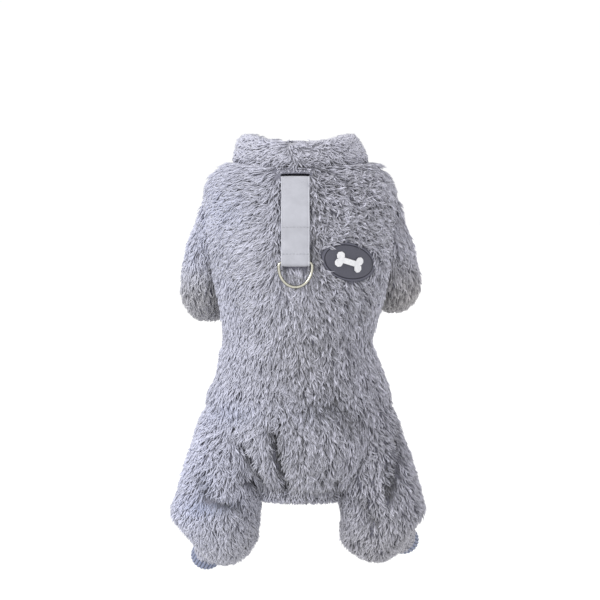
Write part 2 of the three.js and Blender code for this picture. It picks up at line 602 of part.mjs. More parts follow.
// A plain bone, cut from a curved sheet that lies on the badge's field.
function makeBone() {
  const foot = BADGE_THICKNESS - BADGE_SINK + SEAM_GAP;
  const sheet = makeOval([
    { share: 0.05, inset: 0, height: foot },
    { share: 0.5, inset: 0, height: foot },
    { share: 0.9, inset: 0, height: foot },
    { share: 0.9, inset: 0, height: foot + BONE_RELIEF },
    { share: 0.5, inset: 0, height: foot + BONE_RELIEF },
    { share: 0.05, inset: 0, height: foot + BONE_RELIEF },
  ]);
  const { normal } = torsoUnder(BADGE_ACROSS, -BADGE_DOWN);
  const middle = onBadge(0, 0, foot);
  const lobe = { x: BONE_LENGTH / 2 - BONE_LOBE, y: BONE_LOBE * 0.85 };
  const cutters = [-1, 1].flatMap((a) =>
    [-1, 1].map((b) => {
      const disc = new THREE.CylinderGeometry(BONE_LOBE, BONE_LOBE, 10, 8);
      disc.rotateX(HALF_TURN / 2);
      return solidOfGeometry(disc.translate(a * lobe.x, b * lobe.y, 0));
    }),
  );
  const shaft = solidOfGeometry(new THREE.BoxGeometry(2 * lobe.x, BONE_SHAFT, 10));
  const flatBone = cutters.reduce((sum, cutter) => sum.add(cutter), shaft);
  const face = new THREE.Matrix4().lookAt(normal, new THREE.Vector3(), new THREE.Vector3(0, 0, 1));
  const place = new THREE.Matrix4()
    .makeTranslation(middle)
    .multiply(face)
    .multiply(new THREE.Matrix4().makeRotationZ(THREE.MathUtils.degToRad(BADGE_TILT)));
  return sheet.intersect(flatBone.transform(place.toArray()));
}

const suit = new THREE.Group();
suit.add(meshOf("torso", makeTorso(), COLOURS.plush));
suit.add(meshOf("collar", makeCollar(), COLOURS.plush));
for (const [name, limb] of Object.entries(limbs)) suit.add(meshOf(name, limb.cloth, COLOURS.plush));
suit.add(meshOf("hem_band", makeHem(), COLOURS.plush));
suit.add(meshOf("belly_placket", makePlacket(), COLOURS.plush));
suit.add(meshOf("cuff_front_left", makeCuff(limbs.sleeve_left.rows), COLOURS.rib));
suit.add(meshOf("cuff_front_right", makeCuff(limbs.sleeve_right.rows), COLOURS.rib));
suit.add(meshOf("cuff_hind_left", makeCuff(limbs.leg_left.rows), COLOURS.rib));
suit.add(meshOf("cuff_hind_right", makeCuff(limbs.leg_right.rows), COLOURS.rib));
suit.add(meshOf("lead_strap", makeStrap(), COLOURS.webbing, 0.8));
suit.add(meshOf("lead_ring", makeRing(), COLOURS.steel, 0.25, 1));
suit.add(meshOf("badge", makeBadge(), COLOURS.rubber, 0.55));
suit.add(meshOf("badge_bone", makeBone(), COLOURS.print, 0.5));

export default suit;
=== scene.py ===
"""Plush dog jumpsuit: cloth, pile, rib cuffs, lead strap with its ring, and badge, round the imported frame."""
import math

import bpy
import numpy as np
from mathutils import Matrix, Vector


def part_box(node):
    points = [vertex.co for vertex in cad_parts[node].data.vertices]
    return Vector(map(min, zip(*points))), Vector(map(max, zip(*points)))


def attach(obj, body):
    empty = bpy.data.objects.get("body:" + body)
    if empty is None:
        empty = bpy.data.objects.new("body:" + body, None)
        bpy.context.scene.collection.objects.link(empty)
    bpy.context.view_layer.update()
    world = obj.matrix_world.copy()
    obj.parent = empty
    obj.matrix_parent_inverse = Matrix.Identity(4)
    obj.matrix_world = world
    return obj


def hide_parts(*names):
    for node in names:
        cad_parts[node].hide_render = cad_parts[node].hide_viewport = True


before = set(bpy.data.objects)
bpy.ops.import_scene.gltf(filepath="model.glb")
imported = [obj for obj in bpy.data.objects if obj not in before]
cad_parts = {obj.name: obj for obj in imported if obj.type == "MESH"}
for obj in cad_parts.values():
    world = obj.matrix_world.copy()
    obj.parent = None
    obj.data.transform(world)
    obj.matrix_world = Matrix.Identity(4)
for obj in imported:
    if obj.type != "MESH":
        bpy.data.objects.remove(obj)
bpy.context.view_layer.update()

bl_info = {
    "name": "Plush dog jumpsuit",
    "version": (1, 0, 0),
    "blender": (4, 5, 0),
    "location": "3D View > Sidebar > Jumpsuit",
    "description": "Cloth, pile, knit, webbing, ring and badge of a plush dog jumpsuit",
    "category": "Object",
}

MM = 0.001
TURN = 2 * math.pi
STEP = 1e-3  # of a row or a radian, for slopes
RIGHTWARD = np.array([1.0, 0.0, 0.0])
DOWN = np.array([0.0, 0.0, -1.0])

# Sizes of the solids, in millimetres. The back faces -Y, and the neck seam is at z = 0.
SEAM_GAP = 0.3
NECK_DIP = 2
DIP_ROWS = 6
BACK_CROWDING = 0.3
BODY_LENGTH = 231
COLLAR_HEIGHT, COLLAR_THICKNESS, COLLAR_LEAN, COLLAR_RISE, COLLAR_FLARE = 16, 10, 3, 3.5, 2
HEM_HEIGHT, HEM_THICKNESS = 8.5, 6
CUFF_RADIUS = 11
STRIP_HALF, STRIP_HEAD, STRIP_FOOT = 8, -11, -220
STRIP_SEAM, STRIP_STITCH = 6.3, 3.1
STRAP_OFFSET, STRAP_WIDTH, STRAP_THICKNESS = -3.2, 20, 1.4
STRAP_HEAD, STRAP_FOOT, STRAP_TAIL = -6.3, -71.5, -32.5
STITCH_ROWS = (-44.3, -62.8)
SLIT_DOWN = 7.5
RING_DOWN, RING_WIRE = 68.5, 2.2
RING_HALF, RING_CORNER, RING_DROP = 11.7, 2.6, 17.2
BADGE_CENTRE = (33.7, -68.5)
BADGE_SIZE = (39, 26.5)
BADGE_TILT = math.radians(-16)
BADGE_THICKNESS, BADGE_GROOVE, BADGE_RIM = 1.45, 0.87, 0.93

# Light and camera: strengths, the sun's place, and metres and degrees of the view.
WORLD_LIGHT = 1.02
SUN_LIGHT, SUN_WIDTH, SUN_PLACE = 2.05, 30, (-0.85, -0.62, 0.42)
VIEW_MIDDLE, VIEW_WIDTH, VIEW_AWAY, VIEW_TILT = -0.09795, 0.4284, 3.0, 3
FLOOR_DOWN, FLOOR_RADIUS = 360, 9000

# Torso rows from the neck to the hem: height, half widths to left and right, half depths to back and belly.
TORSO = np.array([
    (0, 42.4, 43.6, 38.0, 40.0),
    (-1.4, 50.0, 52.5, 41.0, 44.0),
    (-3.9, 54.5, 55.5, 43.4, 47.0),
    (-8.1, 60.0, 60.0, 47.0, 51.0),
    (-15.0, 64.2, 64.3, 50.5, 56.0),
    (-27.0, 66.5, 67.0, 54.0, 60.0),
    (-42.0, 66.5, 67.0, 56.5, 62.0),
    (-60.1, 65.0, 66.1, 58.0, 62.0),
    (-82.0, 60.4, 61.5, 57.5, 60.0),
    (-100.0, 56.0, 57.0, 56.0, 57.0),
    (-122.0, 53.0, 50.5, 53.0, 53.0),
    (-133.1, 54.6, 51.5, 52.0, 51.5),
    (-151.1, 58.0, 58.0, 52.0, 50.0),
    (-164.0, 63.2, 62.0, 53.0, 50.0),
    (-182.0, 64.5, 63.6, 55.5, 51.0),
    (-200.0, 61.5, 61.5, 57.0, 49.0),
    (-213.9, 53.9, 55.1, 53.5, 44.0),
    (-224.1, 42.5, 44.0, 46.0, 36.5),
    (-231.0, 27.0, 29.0, 35.0, 27.0),
])
LAST_ROW = len(TORSO) - 1

# Limb rows from inside the body to the cuff: out, fore and down, tilt in degrees, wide and deep. All but the
# tilt are shares of the limb's sizes.
SLEEVE_LEFT = [
    (-0.525, 0.06, -0.1, -4, 0.85, 1.1),
    (-0.41, 0.07, 0.03, 0, 0.9, 1.2),
    (-0.3, 0.09, 0.2, 0, 0.9, 1.18),
    (-0.14, 0.14, 0.4, 3, 0.85, 1.15),
    (-0.02, 0.195, 0.62, 8, 0.775, 1.035),
    (0.03, 0.258, 0.83, 35, 0.75, 1),
    (0.012, 0.453, 0.94, 59, 0.75, 0.865),
    (-0.025, 0.711, 0.965, 77, 0.75, 0.76),
    (-0.05, 0.977, 0.965, 84, 0.675, 0.665),
]
SLEEVE_RIGHT = [
    (-0.525, 0.06, -0.14, -4, 0.85, 1.1),
    (-0.39, 0.07, -0.01, 0, 0.9, 1.2),
    (-0.3, 0.09, 0.17, 0, 0.9, 1.18),
    (-0.14, 0.14, 0.38, 3, 0.85, 1.15),
    (-0.02, 0.195, 0.58, 8, 0.775, 1.03),
    (0.06, 0.258, 0.765, 35, 0.75, 0.98),
    (0.04, 0.453, 0.86, 59, 0.75, 0.85),
    (-0.01, 0.711, 0.88, 77, 0.75, 0.76),
    (-0.04, 0.977, 0.91, 84, 0.675, 0.665),
]
LEG_LEFT = [
    (-0.5, -0.125, -0.14, -6, 0.9, 1.1),
    (-0.37, -0.14, 0.04, -2, 0.98, 1.06),
    (-0.267, -0.16, 0.21, 0, 0.98, 1.08),
    (-0.164, -0.2, 0.396, 0, 0.98, 1.1),
    (-0.086, -0.2, 0.583, 2, 0.98, 1.1),
    (-0.034, -0.156, 0.771, 17, 1.02, 1.05),
    (-0.09, 0.06, 0.906, 34, 0.84, 0.917),
    (-0.09, 0.516, 0.9635, 51, 0.68, 0.69),
    (-0.04, 0.97, 0.974, 60, 0.5, 0.48),
    (0.01, 1.28, 1.03, 62, 0.414, 0.424),
]
LEG_RIGHT = [
    (-0.5, -0.125, -0.14, -6, 0.9, 1.1),
    (-0.39, -0.14, 0.04, -2, 0.97, 1.06),
    (-0.293, -0.16, 0.21, 0, 0.97, 1.08),
    (-0.19, -0.2, 0.385, 0, 0.97, 1.1),
    (-0.103, -0.2, 0.57, 2, 0.966, 1.1),
    (-0.055, -0.156, 0.75, 17, 0.966, 1.05),
    (-0.12, 0.06, 0.89, 34, 0.83, 0.917),
    (-0.06, 0.516, 0.945, 51, 0.66, 0.69),
    (0.05, 0.97, 0.95, 60, 0.5, 0.48),
    (0.08, 1.28, 0.98, 62, 0.414, 0.424),
]

# How much the ring of a leg leans across, by row: its outer side is drawn up off the cuff.
LEG_LEAN = np.array([0, 0, 0, 0, 0.05, 0.16, 0.33, 0.42, 0.3, 0])

# Width of the body where the limb starts, then the limb's width, reach, drop, root below the neck, and lean.
SLEEVE_SIZES = (134, 40, 64, 70, 30, 0)
LEG_SIZES = (124, 58, 32, 96, 178, LEG_LEAN)

# How far the end of a hind leg stands aside and up of the solid's, and its shares at the last rows.
FOOT_SHIFT = {"leg_left": (-1.5, -2.6), "leg_right": (4.2, 0.2)}
FOOT_SHARES = np.array([0.25, 0.6, 1.0])

# Creases on the back: x and z of the head, x and z of the foot, depth and width.
FOLDS = np.array([
    (-18.5, -185.8, -11.0, -225.7, 7.0, 4.8),
    (-39.0, -197.0, -26.8, -226.4, 7.0, 4.8),
    (-46.0, -190.0, -40.5, -199.5, 2.2, 4.0),
    (26.4, -221.2, 26.8, -229.0, 4.0, 4.0),
    (-9.0, -226.2, 31.0, -225.4, 3.6, 2.0),
    (-43.0, -223.6, -9.0, -225.6, 4.0, 2.6),
    (18.6, -167.0, 40.2, -180.6, 1.8, 10.2),
    (-69.9, -219.9, -65.0, -234.5, 1.8, 5.0),
    (-65.0, -234.5, -42.9, -242.1, 2.2, 5.0),
    (67.0, -185.7, 67.8, -207.0, 2.4, 4.6),
    (67.8, -207.0, 62.0, -235.6, 3.0, 4.6),
    (43.6, -235.6, 54.9, -251.8, 2.2, 5.0),
])

# Painted shade on the back, darker locks under folds, in hollows and along creases, with painted light where
# the shade is above 0: x, z, reach across and up, shade, and tint, blue below 0 for the bluish painted shadow.
SHADES = np.array([
    (-53.0, -239.0, 10.0, 4.0, -1.5, -0.9),
    (-70.0, -241.0, 10.0, 6.0, -0.6, -0.8),
    (-66.0, -226.0, 5.0, 9.0, -0.6, -0.5),
    (10.0, -170.0, 22.0, 9.0, -0.5, -0.2),
    (64.0, -215.0, 6.0, 18.0, -0.8, -0.2),
    (-52.0, -30.0, 20.0, 16.0, 0.2, -0.4),
    (-47.0, -172.0, 17.0, 7.0, -0.6, -0.5),
    (30.0, -150.0, 22.0, 10.0, -0.5, 0.0),
    (8.0, -125.0, 20.0, 18.0, -0.4, 0.1),
    (-31.5, -223.5, 4.0, 3.0, -1.5, 0.0),
    (-37.0, -204.0, 2.6, 6.5, -1.5, 0.0),
    (-32.5, -214.0, 2.6, 6.5, -1.5, 0.0),
    (-9.5, -221.5, 5.0, 3.5, -1.2, 0.0),
])

# Comb of the back: millimetres below the neck, and degrees that the pile fans out from the strap.
FAN_DOWN = [0, 12, 30, 50, 78, 100, 125, 250]
FAN_OUT = [75, 78, 72, 62, 44, 24, 9, 5]

# Curls right of the strap: millimetres below the neck, and their strength there.
CURLS_DOWN = [0, 12, 30, 62, 90, 105]
CURLS = [0.3, 0.8, 1.0, 1.0, 0.5, 0]

# How much the locks of the back differ in shade: millimetres across, and the contrast there.
CONTRAST_ACROSS = [-60, -25, 0, 20]
CONTRAST = [0.25, 0.8, 1.7, 1.5]

# Heights between which the pile lies flat under the ring, and above which it lies flat over the slit.
RING_FOOT, RING_HEAD, SLIT_PILE_FOOT = -92, -66, -7

# Lengths of the pile's waves, in millimetres, and the seeds of their fields.
CLUMP_SIZE, CLUMP_SEED = 4.6, 11
CURL_SIZE, CURL_SEED = 6.0, 9
EDDY_SEED = 5


def smooth(values, t):
    """A column of a table at t rows: b + f/2 (c - a + f (2a - 5b + 4c - d + f (3(b - c) + d - a)))."""
    last = len(values) - 1
    i = np.clip(np.floor(t).astype(int), 0, last - 1)
    f = t - i
    a, b, c, d = (values[np.clip(i + k, 0, last)] for k in (-1, 0, 1, 2))
    return b + 0.5 * f * (c - a + f * (2 * a - 5 * b + 4 * c - d + f * (3 * (b - c) + d - a)))


def unit(vectors):
    """The vectors over their lengths."""
    return vectors / np.maximum(np.linalg.norm(vectors, axis=-1, keepdims=True), 1e-9)


def dot(a, b):
    """Dot products of two lists of vectors, as a column."""
    return np.einsum("ij,ij->i", a, b)[:, None]


def around(count):
    """Evenly spaced angles of a whole turn."""
    return np.linspace(0, TURN, count, endpoint=False)


def squared(value, power):
    """A sine or cosine filled out toward a square's: sign(v) * |v|^power."""
    return np.sign(value) * np.abs(value) ** power


def hump(value, middle, width):
    """exp(-((v - middle) / width)^2)."""
    return np.exp(-(((value - middle) / width) ** 2))


def torso_surface(t, angle):
    """Four quarter ellipses round each row: x = cos a * right or left half width, y = sin a * belly or back
    half depth, and z = height, less the neck's dip, sin^2 a * (1 - t / 6)."""
    cos, sin = np.cos(angle), np.sin(angle)
    height, left, right, back, belly = (smooth(column, t) for column in TORSO.T)
    dip = NECK_DIP * sin**2 * np.maximum(0, 1 - t / DIP_ROWS)
    across = cos * np.where(cos > 0, right, left)
    return np.stack([across, sin * np.where(sin > 0, belly, back), height - dip], -1)


def limb_rows(table, side, body_width, width, reach, drop, root, lean):
    """Rows of a limb in millimetres: centre x, y, z, tilt in radians, two half axes and the lean across."""
    out, fore, down, tilt, wide, deep = np.array(table, float).T
    x = side * (body_width / 2 + out * width)
    half = width / 2
    return np.stack([x, fore * reach, -(root + down * drop), np.radians(tilt), wide * half, deep * half,
                     side * lean + 0 * x])


def limb_surface(rows):
    """A tube of tilted ellipses: centre + (w cos a, d sin a cos tilt, d sin a sin tilt + rise), where the
    rise is (v + sqrt(v^2 + 3) - sqrt 3) / 2 for v = lean * w cos a."""
    def surface(t, angle):
        x, y, z, tilt, wide, deep, lean = (smooth(column, t) for column in rows)
        side, across = wide * np.cos(angle), deep * np.sin(angle)
        rise = (lean * side + np.sqrt((lean * side) ** 2 + 3) - math.sqrt(3)) / 2
        return np.stack([x + side, y + across * np.cos(tilt), z + across * np.sin(tilt) + rise], -1)
    return surface


LIMBS = {
    "sleeve_left": limb_rows(SLEEVE_LEFT, -1, *SLEEVE_SIZES),
    "sleeve_right": limb_rows(SLEEVE_RIGHT, 1, *SLEEVE_SIZES),
    "leg_left": limb_rows(LEG_LEFT, -1, *LEG_SIZES),
    "leg_right": limb_rows(LEG_RIGHT, 1, *LEG_SIZES),
}
for foot, (aside, up) in FOOT_SHIFT.items():
    LIMBS[foot][0, -3:] += aside * FOOT_SHARES
    LIMBS[foot][2, -3:] += up * FOOT_SHARES


def slopes(surface, t, angle):
    """Unit steps along the rows and round them, and the outward normal, their cross product."""
    along = unit(surface(t + STEP, angle) - surface(t - STEP, angle))
    ring = unit(surface(t, angle + STEP) - surface(t, angle - STEP))
    return along, ring, unit(np.cross(along, ring))


def toward_fold(points, fold):
    """Steps in x and z from the points to the nearest places on a crease's line, and their lengths."""
    head, run = fold[:2], fold[2:4] - fold[:2]
    flat = points[..., [0, 2]]
    share = np.clip((flat - head) @ run / (run @ run), 0, 1)
    toward = head + share[..., None] * run - flat
    return toward, np.linalg.norm(toward, axis=-1)


def crease_depth(points, normals):
    """Sum over the creases of facing * depth * (exp(-(r/w)^2) + 0.35 exp(-(3.5 r/w)^2)), with r the distance
    to the crease's line and w its width."""
    facing = np.maximum(0, -normals[..., 1])
    total = np.zeros(points.shape[:-1])
    for fold in FOLDS:
        away = toward_fold(points, fold)[1] / fold[5]
        total += facing * fold[4] * (np.exp(-away**2) + 0.35 * np.exp(-(3.5 * away) ** 2))
    return total


def crease_pull(points, normals):
    """How near the bottom of a crease the points lie, the greatest exp(-(r / 0.8 w)^2), and the sum of the
    creases' pulls, step toward the line * exp(-(r / 1.7 w)^2) / r. Both are times facing, and times a
    quarter of the depth, at most 1."""
    facing = np.maximum(0, -normals[..., 1])
    near, pull = np.zeros(len(points)), np.zeros((len(points), 3))
    for fold in FOLDS:
        toward, away = toward_fold(points, fold)
        force = facing * min(1, fold[4] / 4)
        near = np.maximum(near, force * np.exp(-((away / (0.8 * fold[5])) ** 2)))
        reach = force * np.exp(-((away / (1.7 * fold[5])) ** 2)) / np.maximum(away, 0.4)
        pull[:, [0, 2]] += toward * reach[:, None]
    return near, pull


def shaded(points, normals):
    """Painted shade and its bluish tint at the soft shaded places: the sum of facing * amount * exp(-(dx/w)^2 -
    (dz/h)^2).
    """
    facing = np.maximum(0, -normals[:, 1])
    off = (points[:, None, [0, 2]] - SHADES[:, :2]) / SHADES[:, 2:4]
    return (facing[:, None] * np.exp(-(off**2).sum(-1))) @ SHADES[:, 4:]


def creased(surface, t, angle, outward=0.0):
    """The surface pressed in by its creases and moved outward along its normals."""
    points = surface(t, angle)
    normals = slopes(surface, t, angle)[2]
    return points + normals * (outward - crease_depth(points, normals))[..., None]


def rings_of(surface, rows, angles, outward):
    """Rings of the creased surface."""
    t, angle = np.meshgrid(rows, angles, indexing="ij")
    return creased(surface, t, angle, outward)


def wander(points, size, seed):
    """A smooth wave field between about -1 and 1: the sum of seven sin(p.k + phase), in random directions k
    and of lengths near the size, over 3.2."""
    rng = np.random.default_rng(seed)
    waves = unit(rng.normal(size=(7, 3))) * TURN / size * rng.uniform(0.7, 1.4, (7, 1))
    phases = rng.uniform(0, TURN, 7)
    return np.sin(points @ waves.T + phases).sum(-1) / 3.2


def torso_angles(columns):
    """Angles round the torso, crowded on the back: pi/2 + u + 0.3 sin u."""
    u = np.arange(columns) / columns * TURN
    return math.pi / 2 + u + BACK_CROWDING * np.sin(u)


def torso_under(x, z, side=-1):
    """Places on the creased torso over given x and z, by bisection of the row, and their normals."""
    x, z = np.broadcast_arrays(np.asarray(x, float), np.asarray(z, float))
    above, below = np.zeros(x.shape), np.full(x.shape, float(LAST_ROW))

    def angle_at(t):
        """The angle at which a row stands over x, arccos(x / its half width)."""
        half = np.where(x > 0, smooth(TORSO[:, 2], t), smooth(TORSO[:, 1], t))
        return side * np.arccos(np.clip(x / half, -1, 1))
    for _ in range(30):
        middle = (above + below) / 2
        higher = torso_surface(middle, angle_at(middle))[..., 2] > z
        above, below = np.where(higher, middle, above), np.where(higher, below, middle)
    points = torso_surface(above, angle_at(above))
    normals = slopes(torso_surface, above, angle_at(above))[2]
    return points - normals * crease_depth(points, normals)[..., None], normals


def inside_torso(points, grow):
    """Whether points lie within the torso's ellipses, grown outward."""
    rows = np.interp(-points[:, 2], -TORSO[:, 0], np.arange(len(TORSO)))
    _, left, right, back, belly = (np.interp(rows, np.arange(len(TORSO)), c) for c in TORSO.T)
    x, y, z = points.T
    wide = np.where(x > 0, right, left) + grow
    deep = np.where(y > 0, belly, back) + grow
    return ((x / wide) ** 2 + (y / deep) ** 2 < 1) & (z < grow) & (z > -BODY_LENGTH - grow)


def inside_limb(points, rows, grow):
    """Whether points lie within the limb's tilted ellipses, each a slab as thick as its step."""
    t = np.linspace(0, rows.shape[1] - 1, 70)
    x, y, z, tilt, wide, deep = (smooth(column, t) for column in rows[:6])
    centre = np.stack([x, y, z], -1)
    over = np.stack([np.zeros_like(t), np.cos(tilt), np.sin(tilt)], -1)
    axis = np.stack([np.zeros_like(t), -np.sin(tilt), np.cos(tilt)], -1)
    step = np.abs(dot(np.gradient(centre, axis=0), axis))[:, 0] * 0.75 + 0.2
    within = np.zeros(len(points), bool)
    for k in range(len(t)):
        off = points - centre[k]
        flat = (off[:, 0] / (wide[k] + grow)) ** 2 + (off @ over[k] / (deep[k] + grow)) ** 2 < 1
        within |= flat & (np.abs(off @ axis[k]) < step[k])
    return within


def grid_faces(rows, columns, join_rows):
    """Quads between neighbouring rings of columns points, each ring closed."""
    r = np.arange(rows if join_rows else rows - 1)[:, None]
    c = np.arange(columns)[None, :]
    nr, nc = (r + 1) % rows, (c + 1) % columns
    corners = [r * columns + c, r * columns + nc, nr * columns + nc, nr * columns + c]
    return np.stack([np.broadcast_to(k, (len(r), columns)) for k in corners], -1).reshape(-1, 4)


def turned_out(points, faces):
    """The faces with their order reversed if the body that they close has a negative volume."""
    a, b, c = (points[faces[:, k]] for k in range(3))
    volume = np.einsum("ij,ij->", a, np.cross(b, c))
    if faces.shape[1] == 4:
        volume += np.einsum("ij,ij->", a, np.cross(c, points[faces[:, 3]]))
    return faces if volume > 0 else faces[:, ::-1]


def mesh_of(name, points, faces, **attributes):
    """A smooth mesh from points in millimetres and an array of faces, with point attributes."""
    mesh = bpy.data.meshes.new(name)
    mesh.vertices.add(len(points))
    mesh.vertices.foreach_set("co", np.asarray(points, np.float32).ravel() * np.float32(MM))
    mesh.loops.add(faces.size)
    mesh.loops.foreach_set("vertex_index", faces.ravel().astype(np.int32))
    mesh.polygons.add(len(faces))
    mesh.polygons.foreach_set("loop_start", (np.arange(len(faces)) * faces.shape[1]).astype(np.int32))
    mesh.polygons.foreach_set("use_smooth", np.full(len(faces), True))
    for key, values in attributes.items():
        give(mesh, key, values)
    mesh.update(calc_edges=True)
    mesh.validate()
    return mesh


def give(mesh, key, values):
    """A number for each point of the mesh."""
    mesh.attributes.new(key, "FLOAT", "POINT").data.foreach_set("value", np.asarray(values, np.float32))


def tube_mesh(name, rings, **attributes):
    """A closed tube of rings whose last ring joins the first."""
    points = rings.reshape(-1, 3)
    return mesh_of(name, points, turned_out(points, grid_faces(*rings.shape[:2], True)), **attributes)


def wall_mesh(name, outer, inner):
    """A closed wall between two grids of rings, joined at both ends. Inner faces take the second material."""
    rings = np.concatenate([outer, inner[::-1]])
    mesh = tube_mesh(name, rings)
    inside = np.repeat(np.arange(len(rings)) >= len(outer) - 1, rings.shape[1]).astype(np.int32)
    mesh.polygons.foreach_set("material_index", inside)
    return mesh


def plug_mesh(name, rings):
    """A closed body of rings, with a fan of triangles at each end."""
    columns = rings.shape[1]
    points = np.concatenate([rings.reshape(-1, 3), rings[[0, -1]].mean(1)])
    quads = grid_faces(len(rings), columns, False)
    first = np.arange(columns)
    last = first + (len(rings) - 1) * columns
    middle = len(rings) * columns
    fans = np.concatenate([
        np.stack([np.full(columns, middle), np.roll(first, -1), first], -1),
        np.stack([np.full(columns, middle + 1), last, np.roll(last, -1)], -1),
    ])
    triangles = np.concatenate([quads[:, [0, 1, 2]], quads[:, [0, 2, 3]], fans])
    return mesh_of(name, points, turned_out(points, triangles))


def linked(mesh):
    """A new object of the mesh in the scene."""
    piece = bpy.data.objects.new(mesh.name, mesh)
    bpy.context.scene.collection.objects.link(piece)
    return piece


def piece_of(mesh, finish_name, body="garment", replaces=()):
    """An object for a mesh at the origin, riding on its body and standing for its nodes."""
    piece = linked(mesh)
    mesh.materials.append(finish(finish_name))
    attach(piece, body)
    if replaces:
        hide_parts(*replaces)
    return piece


def carved(piece, *cutters):
    """The piece less the cutters, which are removed."""
    for cutter in cutters:
        holder = linked(cutter)
        cut = piece.modifiers.new("cut", "BOOLEAN")
        cut.operation = "DIFFERENCE"
        cut.solver = "MANIFOLD"
        cut.object = holder
        bpy.context.view_layer.update()
        whole = piece.evaluated_get(bpy.context.evaluated_depsgraph_get())
        result = bpy.data.meshes.new_from_object(whole)
        piece.modifiers.clear()
        result.name = piece.name
        piece.data = result
        bpy.data.objects.remove(holder)


def scattered(rng, surface, rows, angles, density):
    """Rows and angles of roots spread evenly: each cell of a fine grid gets density * area of them, at
    random places in it."""
    t, angle = np.meshgrid(np.linspace(*rows, 150), np.linspace(*angles, 200), indexing="ij")
    grid = surface(t, angle)
    down, across = grid[1:, :-1] - grid[:-1, :-1], grid[:-1, 1:] - grid[:-1, :-1]
    area = np.linalg.norm(np.cross(down, across), axis=-1)
    middle = grid[:-1, :-1] + (down + across) / 2
    wanted = area * (density(middle) if callable(density) else density)
    count = np.floor(wanted + rng.random(area.shape)).astype(int)
    cell = np.repeat(np.arange(area.size), count.ravel())
    row, column = np.unravel_index(cell, area.shape)
    return (t[row, 0] + rng.random(len(cell)) * (t[1, 0] - t[0, 0]),
            angle[0, column] + rng.random(len(cell)) * (angle[0, 1] - angle[0, 0]))


def lock_mesh(name, roots, normals, lean, length, width, lift, bend, shade, warm):
    """Tapered locks of three sides, through rings at s = 0, 0.34 and 0.68 to a point at 1. The centre line is
    root + lean * L s + normal * (H s (1.7 - 0.7 s) - 0.35) + side * (bend s^2 + L/16 (sin(6 s + phase) - sin
    phase)), and a ring's corners stand at its girth * the width across, and 0.6 of that over."""
    count = len(roots)
    side = unit(np.cross(normals, lean))
    phase = np.cos(np.arange(count) * 2.4) * math.pi
    stations, girth = np.array([0.0, 0.34, 0.68, 1.0]), np.array([0.6, 1.0, 0.85])
    turn = TURN / 3 * np.arange(3) + math.pi / 2
    middles = []
    for s in stations:
        snake = length * (np.sin(6 * s + phase) - np.sin(phase)) / 16
        rise = lift * s * (1.7 - 0.7 * s) - 0.35
        aside = bend * s * s + snake
        middles.append(roots + lean * (length * s)[:, None] + normals * rise[:, None] + side * aside[:, None])
    points = np.empty((count, 10, 3))
    for ring in range(3):
        for corner in range(3):
            across = side * (width * girth[ring] * math.cos(turn[corner]))[:, None]
            over = normals * (0.6 * width * girth[ring] * math.sin(turn[corner]))[:, None]
            points[:, ring * 3 + corner] = middles[ring] + across + over
    points[:, 9] = middles[3]
    band = np.array([[0, 1, 4], [0, 4, 3], [1, 2, 5], [1, 5, 4], [2, 0, 3], [2, 3, 5]])
    one = np.concatenate([band, band + 3, [[6, 7, 9], [7, 8, 9], [8, 6, 9], [2, 1, 0]]])
    faces = (one[None] + 10 * np.arange(count)[:, None, None]).reshape(-1, 3)
    points = points.reshape(-1, 3)
    along = np.tile(np.append(np.repeat(stations[:3], 3), 1.0), count)
    return mesh_of(name, points, turned_out(points, faces), along=along, shade=np.repeat(shade, 10),
                   warm=np.repeat(warm, 10))


def on_cloth(vectors, normals):
    """The vectors less their parts along the normals."""
    return vectors - normals * dot(vectors, normals)


def turned(direction, normals, angle):
    """A direction on the surface turned round its normal."""
    side = np.cross(normals, direction)
    return direction * np.cos(angle)[:, None] + side * np.sin(angle)[:, None]


def add_pile(name, rng, roots, normals, direction, length, lift, width, swirl, wave, tone=0, curl=0, warm=0,
             bare=None, hang=0, contrast=1):
    """A piece of locks combed along a direction, with swirls in it, drawn together in clumps by the slope of
    a wave field, laid into the creases from both sides, and cut short where they would lie over bare places.
    A lock's shade is contrast * (0.45 of the field + chance) - 3.4 * its nearness to a crease, painted shade in
    the crease, + its tone, painted light and shade where given, + the painted shade of the soft shaded places."""
    count = len(roots)
    near, pull = crease_pull(roots, normals)
    lean = unit(on_cloth(direction + 0.25 * pull, normals))
    eddies = swirl * wander(roots, wave, EDDY_SEED) + curl * wander(roots, CURL_SIZE, CURL_SEED)
    lean = turned(lean, normals, eddies + rng.normal(0, 0.13, count))
    slope = np.stack([wander(roots + 0.2 * axis, CLUMP_SIZE, CLUMP_SEED)
                      - wander(roots - 0.2 * axis, CLUMP_SIZE, CLUMP_SEED) for axis in np.eye(3)], -1) / 0.4
    lean = unit(lean + 0.38 * on_cloth(slope, normals))
    hang = np.broadcast_to(hang, count)[:, None]
    lean = unit(lean * (1 - hang) + DOWN * hang)
    high = wander(roots, CLUMP_SIZE, CLUMP_SEED)
    lengths = length * rng.uniform(0.75, 1.2, count) * (1 - 0.3 * near)
    lifts = lift * rng.uniform(0.6, 1.12, count) * (1 + 0.24 * high) * (1 - 0.5 * near)
    for _ in range(2 if bare else 0):
        over = bare(roots + lean * lengths[:, None])
        lengths, lifts = np.where(over, 0.5 * lengths, lengths), np.where(over, 0.75 * lifts, lifts)
    widths = width * rng.uniform(0.72, 1.25, count)
    bends = rng.normal(0, 1, count) * lengths * (0.14 + 0.16 * np.abs(curl))
    # Painted shade: soft is the darkening at the soft shaded places, and 3.4 * near below darkens the locks in
    # the creases.
    soft, tint = shaded(roots, normals).T
    shade = contrast * (0.45 * high + rng.normal(0, 0.5, count)) - 3.4 * near + tone + soft
    mesh = lock_mesh(name, roots, normals, lean, lengths, widths, lifts, bends, shade, tint + warm)
    piece_of(mesh, "plush_pile")


